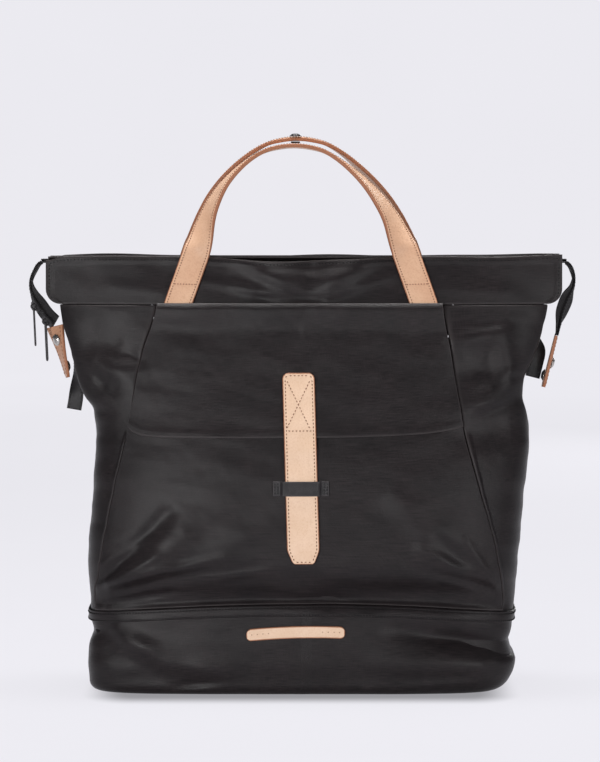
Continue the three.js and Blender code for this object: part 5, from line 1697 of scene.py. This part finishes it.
def canvas_finish():
    finish = Finish("coated_canvas", 0.5, specular=0.2)
    slubs = finish.noise(finish.cloth_place(0.045, 1.0), 0.55, 4.0, 0.6)
    strands = finish.noise(finish.cloth_place(1.0, 0.06), 0.6, 3.0, 0.6)
    broad = finish.noise(finish.body_place(), 38, 3.0)
    grit = finish.noise(finish.body_place(), 0.8, 2.0, 0.7)
    dark = tone(19, 16, 17)
    pale = tone(42, 36, 37)
    streaks = finish.math("ADD", slubs, finish.math("MULTIPLY", strands, 0.35))
    colour = finish.blend(finish.spread(streaks, 0.45, 0.95), dark, pale)
    colour = finish.blend(finish.spread(broad, 0.35, 0.7, 0.0, 0.35), colour, tone(18, 17, 18))
    worn = finish.math("MULTIPLY", finish.mark("edge"), 0.35)
    finish.paint(finish.blend(worn, colour, tone(88, 82, 82)))
    finish.polish(finish.spread(finish.math("ADD", slubs, grit), 0.7, 1.3, 0.33, 0.47))
    threads = weave(finish, 0.9)
    finish.bumps((threads, 0.035), (slubs, 0.12), (grit, 0.05))
    return finish.material


CUT_EDGE = tone(150, 96, 66)


# Natural leather from its main, dark and light tone.
def leather_finish(name, flesh, burnt, glow):
    finish = Finish(name, 0.5, specular=0.4, sheen=0.08)
    place = finish.body_place()
    broad = finish.noise(place, 22, 4.0)
    fine = finish.noise(place, 1.6, 4.0, 0.65)
    pores = finish.pores(place, 1.1, "F1")
    colour = finish.blend(finish.spread(broad, 0.3, 0.75), flesh, glow)
    colour = finish.blend(finish.spread(fine, 0.42, 0.75, 0.0, 0.4), colour, burnt)
    freckles = finish.spread(finish.noise(place, 3.4, 5.0, 0.75), 0.66, 0.74, 0.0, 0.3)
    colour = finish.blend(freckles, colour, burnt)
    edge = finish.spread(finish.mark("edge"), 0.25, 0.85)
    finish.paint(finish.blend(edge, colour, CUT_EDGE))
    finish.polish(finish.spread(fine, 0.3, 0.7, 0.42, 0.6))
    finish.bumps((fine, 0.12), (finish.spread(pores, 0.1, 0.5), 0.05), (broad, 0.5))
    return finish.material


def black_leather_finish():
    finish = Finish("black_leather", 0.42, specular=0.35)
    place = finish.body_place()
    pores = finish.pores(place, 1.3, "DISTANCE_TO_EDGE")
    fine = finish.noise(place, 0.7, 3.0)
    broad = finish.noise(place, 9, 3.0)
    colour = finish.blend(finish.spread(broad, 0.35, 0.7), tone(25, 23, 25), tone(38, 35, 37))
    worn = finish.math("MULTIPLY", finish.mark("edge"), 0.5)
    finish.paint(finish.blend(worn, colour, tone(66, 61, 63)))
    finish.polish(finish.spread(fine, 0.3, 0.7, 0.38, 0.54))
    finish.bumps((finish.spread(pores, 0.0, 0.25), 0.09), (fine, 0.04))
    return finish.material


def webbing_finish():
    finish = Finish("black_webbing", 0.72, specular=0.2, sheen=0.05)
    parts = finish.add("SeparateXYZ", Vector=finish.cloth_place())
    slant = finish.math("ADD", parts.outputs[0], finish.math("MULTIPLY", parts.outputs[1], 1.6))
    rows = finish.math("SINE", finish.math("MULTIPLY", parts.outputs[0], 2 * math.pi / 1.4))
    ribs = finish.math("SINE", finish.math("MULTIPLY", slant, 2 * math.pi / 1.8))
    knit = finish.math("MULTIPLY", rows, ribs)
    fuzz = finish.noise(finish.body_place(), 0.5, 2.0)
    finish.paint(finish.blend(finish.spread(knit, -0.8, 0.8), tone(15, 14, 15), tone(38, 35, 37)))
    finish.polish(finish.spread(fuzz, 0.3, 0.7, 0.62, 0.82))
    finish.bumps((knit, 0.16), (fuzz, 0.06))
    return finish.material


def thread_finish(name, dark, pale, roughness=0.6):
    finish = Finish(name, roughness, specular=0.4)
    twist = finish.noise(finish.body_place(), 0.6, 2.0)
    finish.paint(finish.blend(finish.spread(twist, 0.3, 0.7), dark, pale))
    finish.bumps((twist, 0.05),)
    return finish.material


def metal_finish(name, dark, pale, roughness, metallic=1.0):
    finish = Finish(name, roughness, metallic=metallic, specular=0.3)
    place = finish.body_place()
    brushed = finish.noise(place, 2.5, 4.0, 0.6)
    specks = finish.noise(place, 0.5, 2.0)
    finish.paint(finish.blend(finish.spread(brushed, 0.35, 0.7), dark, pale))
    finish.polish(finish.spread(specks, 0.3, 0.7, roughness - 0.07, roughness + 0.1))
    finish.bumps((specks, 0.012),)
    return finish.material


def plastic_finish():
    finish = Finish("black_plastic", 0.5, specular=0.25)
    grain = finish.noise(finish.body_place(), 0.45, 2.0)
    broad = finish.noise(finish.body_place(), 6, 2.0)
    finish.paint(finish.blend(finish.spread(broad, 0.35, 0.65), tone(24, 23, 24), tone(34, 33, 34)))
    finish.polish(finish.spread(grain, 0.3, 0.7, 0.34, 0.5))
    finish.bumps((grain, 0.03),)
    return finish.material


PAPER = (tone(234, 233, 239), tone(236, 235, 241))


# The floor's glow, with a painted shadow close round the bag and an even glow beyond, over distances
# from the base in millimetres. The painted shadow starts inside the base by FLOOR_INSET, across and
# deep.
FLOOR_INSET = (45, 8)
PAINTED_SHADOW_REACH = (8, 52)
PAINTED_SHADOW_GLOW = (0.36, 0.905)
FAR_REACH = (1200, 4000)
FAR_GLOW = (0.0, 0.085)


# Paper that glows, so that it stays evenly pale. The glow is weaker close round the base,
# as a painted shadow of the bag on the floor.
def floor_finish():
    finish = Finish("studio_paper", 0.9, specular=0.0)
    paper = finish.blend(finish.noise(finish.body_place(), 400, 2.0), *PAPER)
    finish.paint(finish.blend(0.9, paper, tone(0, 0, 0)))
    parts = finish.add("SeparateXYZ", Vector=finish.body_place())
    beside = []
    for axis, (half, inset) in enumerate(zip((HALF_WIDTH, HALF_DEPTH), FLOOR_INSET)):
        far = finish.math("SUBTRACT", finish.math("ABSOLUTE", parts.outputs[axis]), half - inset)
        beside.append(finish.math("POWER", finish.math("MAXIMUM", far, 0.0), 2.0))
    distance = finish.math("SQRT", finish.math("ADD", *beside))
    # Painted shadow: the glow drops close round the base, where the bag would shade the floor.
    near = finish.spread(distance, *PAINTED_SHADOW_REACH, *PAINTED_SHADOW_GLOW)
    rest = finish.spread(distance, *FAR_REACH, *FAR_GLOW)
    finish.feed(finish.shader.inputs["Emission Color"], paper)
    finish.feed(finish.shader.inputs["Emission Strength"], finish.math("ADD", near, rest))
    return finish.material


def backdrop_finish():
    finish = Finish("studio_backdrop", 0.9, specular=0.0)
    finish.shader.inputs["Base Color"].default_value = tone(0, 0, 0)
    paper = finish.blend(finish.noise(finish.body_place(), 400, 2.0), *PAPER)
    finish.feed(finish.shader.inputs["Emission Color"], paper)
    finish.shader.inputs["Emission Strength"].default_value = 1.0
    return finish.material


# Main, dark and light tone of each natural leather
LEATHERS = {
    "handle_leather": (tone(200, 158, 128), tone(172, 127, 96), tone(210, 171, 141)),
    "strap_leather": (tone(218, 186, 158), tone(198, 157, 126), tone(225, 194, 168)),
    "tab_leather": (tone(176, 128, 98), tone(146, 98, 70), tone(192, 146, 116)),
}

canvas = canvas_finish()
handle_leather, strap_leather, tab_leather = (
    leather_finish(name, *tones) for name, tones in LEATHERS.items()
)
black_leather = black_leather_finish()
webbing = webbing_finish()
# The black thread is darker than the black canvas: partly the thread's own black, partly painted
# shade of the stitch holes.
black_thread = thread_finish("black_thread", tone(5, 5, 6), tone(13, 12, 13), 0.9)
brown_thread = thread_finish("brown_thread", tone(112, 76, 56), tone(142, 100, 76))
dark_metal = metal_finish("gunmetal", tone(46, 44, 46), tone(66, 64, 65), 0.42, 0.35)
nickel = metal_finish("nickel", tone(176, 172, 168), tone(202, 198, 194), 0.24)
plastic = plastic_finish()

# Camera and light. The lens takes the photograph's frame, with the bag's middle at its middle.
CAMERA_AT = (-0.00095, -2.7, 0.492)
CAMERA_AIM = (-0.00095, 0.0, 0.290)
CAMERA_SENSOR = 36
CAMERA_LENS = 134.6

# Soft lamps, in metres and watts. aim is the height in the bag's middle that a lamp points at.
LAMP_NAMES = ("name", "at", "aim", "size", "power")
LAMPS = [
    ("key_light", (-0.85, -2.0, 0.42), 0.25, (0.55, 0.4), 22),
    ("side_light", (1.2, -1.8, 0.4), 0.25, (0.4, 0.5), 11),
    ("top_light", (0.0, 0.1, 1.8), 0.2, (1.4, 0.5), 34),
    ("back_light", (0.9, 2.3, 0.9), 0.25, (1.0, 0.8), 16),
]
SKY_COLOUR = (0.93, 0.94, 1.0, 1.0)
SKY_STRENGTH = 0.15


# Stands an object at a place and turns its -Z axis to another.
def point_at(item, place, aim):
    item.location = place
    item.rotation_euler = (Vector(aim) - Vector(place)).to_track_quat("-Z", "Y").to_euler()


def build_camera():
    camera = add_object("camera", bpy.data.cameras.new("camera"))
    camera.data.sensor_fit = "VERTICAL"
    camera.data.sensor_height = CAMERA_SENSOR
    camera.data.lens = CAMERA_LENS
    point_at(camera, CAMERA_AT, CAMERA_AIM)
    bpy.context.scene.camera = camera


def build_lamp(name, at, aim, size, power):
    light = bpy.data.lights.new(name, "AREA")
    light.shape = "RECTANGLE"
    light.size, light.size_y = size
    light.energy = power
    lamp = add_object(name, light)
    point_at(lamp, at, (0, 0, aim))
    lamp.visible_camera = False


def build_sky():
    world = bpy.data.worlds.new("studio")
    world.use_nodes = True
    sky = world.node_tree.nodes["Background"]
    sky.inputs[0].default_value = SKY_COLOUR
    sky.inputs[1].default_value = SKY_STRENGTH
    bpy.context.scene.world = world
    bpy.context.scene.view_settings.view_transform = "Standard"
    bpy.context.scene.view_settings.look = "None"


# A round paper floor, and a pale dome over it that only the camera sees.
STAGE_RADIUS = 8.0
STAGE_SIDES = 96
STAGE_RINGS = 24


# A disc or dome: a first point, then rings of points round it.
def add_stage(name, points, finish):
    faces = [(0, 1 + k, 1 + (k + 1) % STAGE_SIDES) for k in range(STAGE_SIDES)]
    for ring in range(STAGE_RINGS - 1):
        a = 1 + ring * STAGE_SIDES
        for k in range(STAGE_SIDES):
            nxt = (k + 1) % STAGE_SIDES
            faces.append((a + k, a + STAGE_SIDES + k, a + STAGE_SIDES + nxt, a + nxt))
    mesh = bpy.data.meshes.new(name)
    mesh.from_pydata(points, [], faces)
    mesh.shade_smooth()
    mesh.materials.append(finish)
    paper = add_object(name, mesh)
    return paper


def build_stage():
    turn = 2 * math.pi * np.arange(STAGE_SIDES) / STAGE_SIDES
    circle = list(zip(np.cos(turn), np.sin(turn)))
    radii = STAGE_RADIUS * np.linspace(0, 1, STAGE_RINGS + 1) ** 2
    flat = [(0.0, 0.0, 0.0)] + [(r * x, r * y, 0.0) for r in radii[1:] for x, y in circle]
    dome = []
    for rise in np.linspace(0, math.pi / 2, STAGE_RINGS + 1)[:-1]:
        r, z = STAGE_RADIUS * math.cos(rise), STAGE_RADIUS * math.sin(rise)
        dome += [(r * x, r * y, z) for x, y in circle]
    dome.append((0.0, 0.0, STAGE_RADIUS))
    add_stage("studio_floor", flat, floor_finish())
    shell = add_stage("studio_dome", dome[::-1], backdrop_finish())
    for ray in ("diffuse", "glossy", "transmission", "shadow"):
        setattr(shell, f"visible_{ray}", False)


build_camera()
for lamp in LAMPS:
    build_lamp(**dict(zip(LAMP_NAMES, lamp)))
build_sky()
build_stage()
build_base(canvas)
build_band(canvas, black_thread)
build_front(canvas)
build_back(canvas)
for facing in (-1, 1):
    build_yoke(facing, canvas, black_thread)
    build_handle(facing, handle_leather, brown_thread)
    build_zip_gusset(facing, canvas)
build_closure(strap_leather, brown_thread)
build_keeper(black_leather, black_thread)
build_plate(strap_leather, brown_thread)
build_zip(webbing, plastic)
soften("handle_stud", "crown_stud", 0.5, dark_metal, "dark_metal")
cap_foot = np.array([CROWN_X, 0.0, CROWN_TOP + CAP_GAP])
cap_width, cap_out = np.array([1.0, 0.0, 0.0]), np.array([0.0, 0.0, 1.0])
build_cap("crown_cap", cap_foot, cap_width, cap_out, dark_metal, "dark_metal", "handle_cap")
for number, at in enumerate(SLIDER_PLACES, 1):
    soften(f"zip_slider_{number}", f"slider_{number}", 0.35, dark_metal, "dark_metal")
    build_pull(number, at, dark_metal)
for side in (-1, 1):
    label = side_name(side)
    build_side(side, canvas)
    build_gusset_top(side, canvas)
    rows = build_tab(side, tab_leather, brown_thread)
    for part, at, face in TAB_CAPS[label]:
        build_cap_on(f"{part}_{label}", rows, at, face, nickel, "steel", f"tab_{part}_{label}")
    build_side_strap(side, black_leather, black_thread)
    build_pad(side, canvas, webbing, black_thread)
    build_webbing(side, webbing, plastic)
build_anchor(black_leather, black_thread)
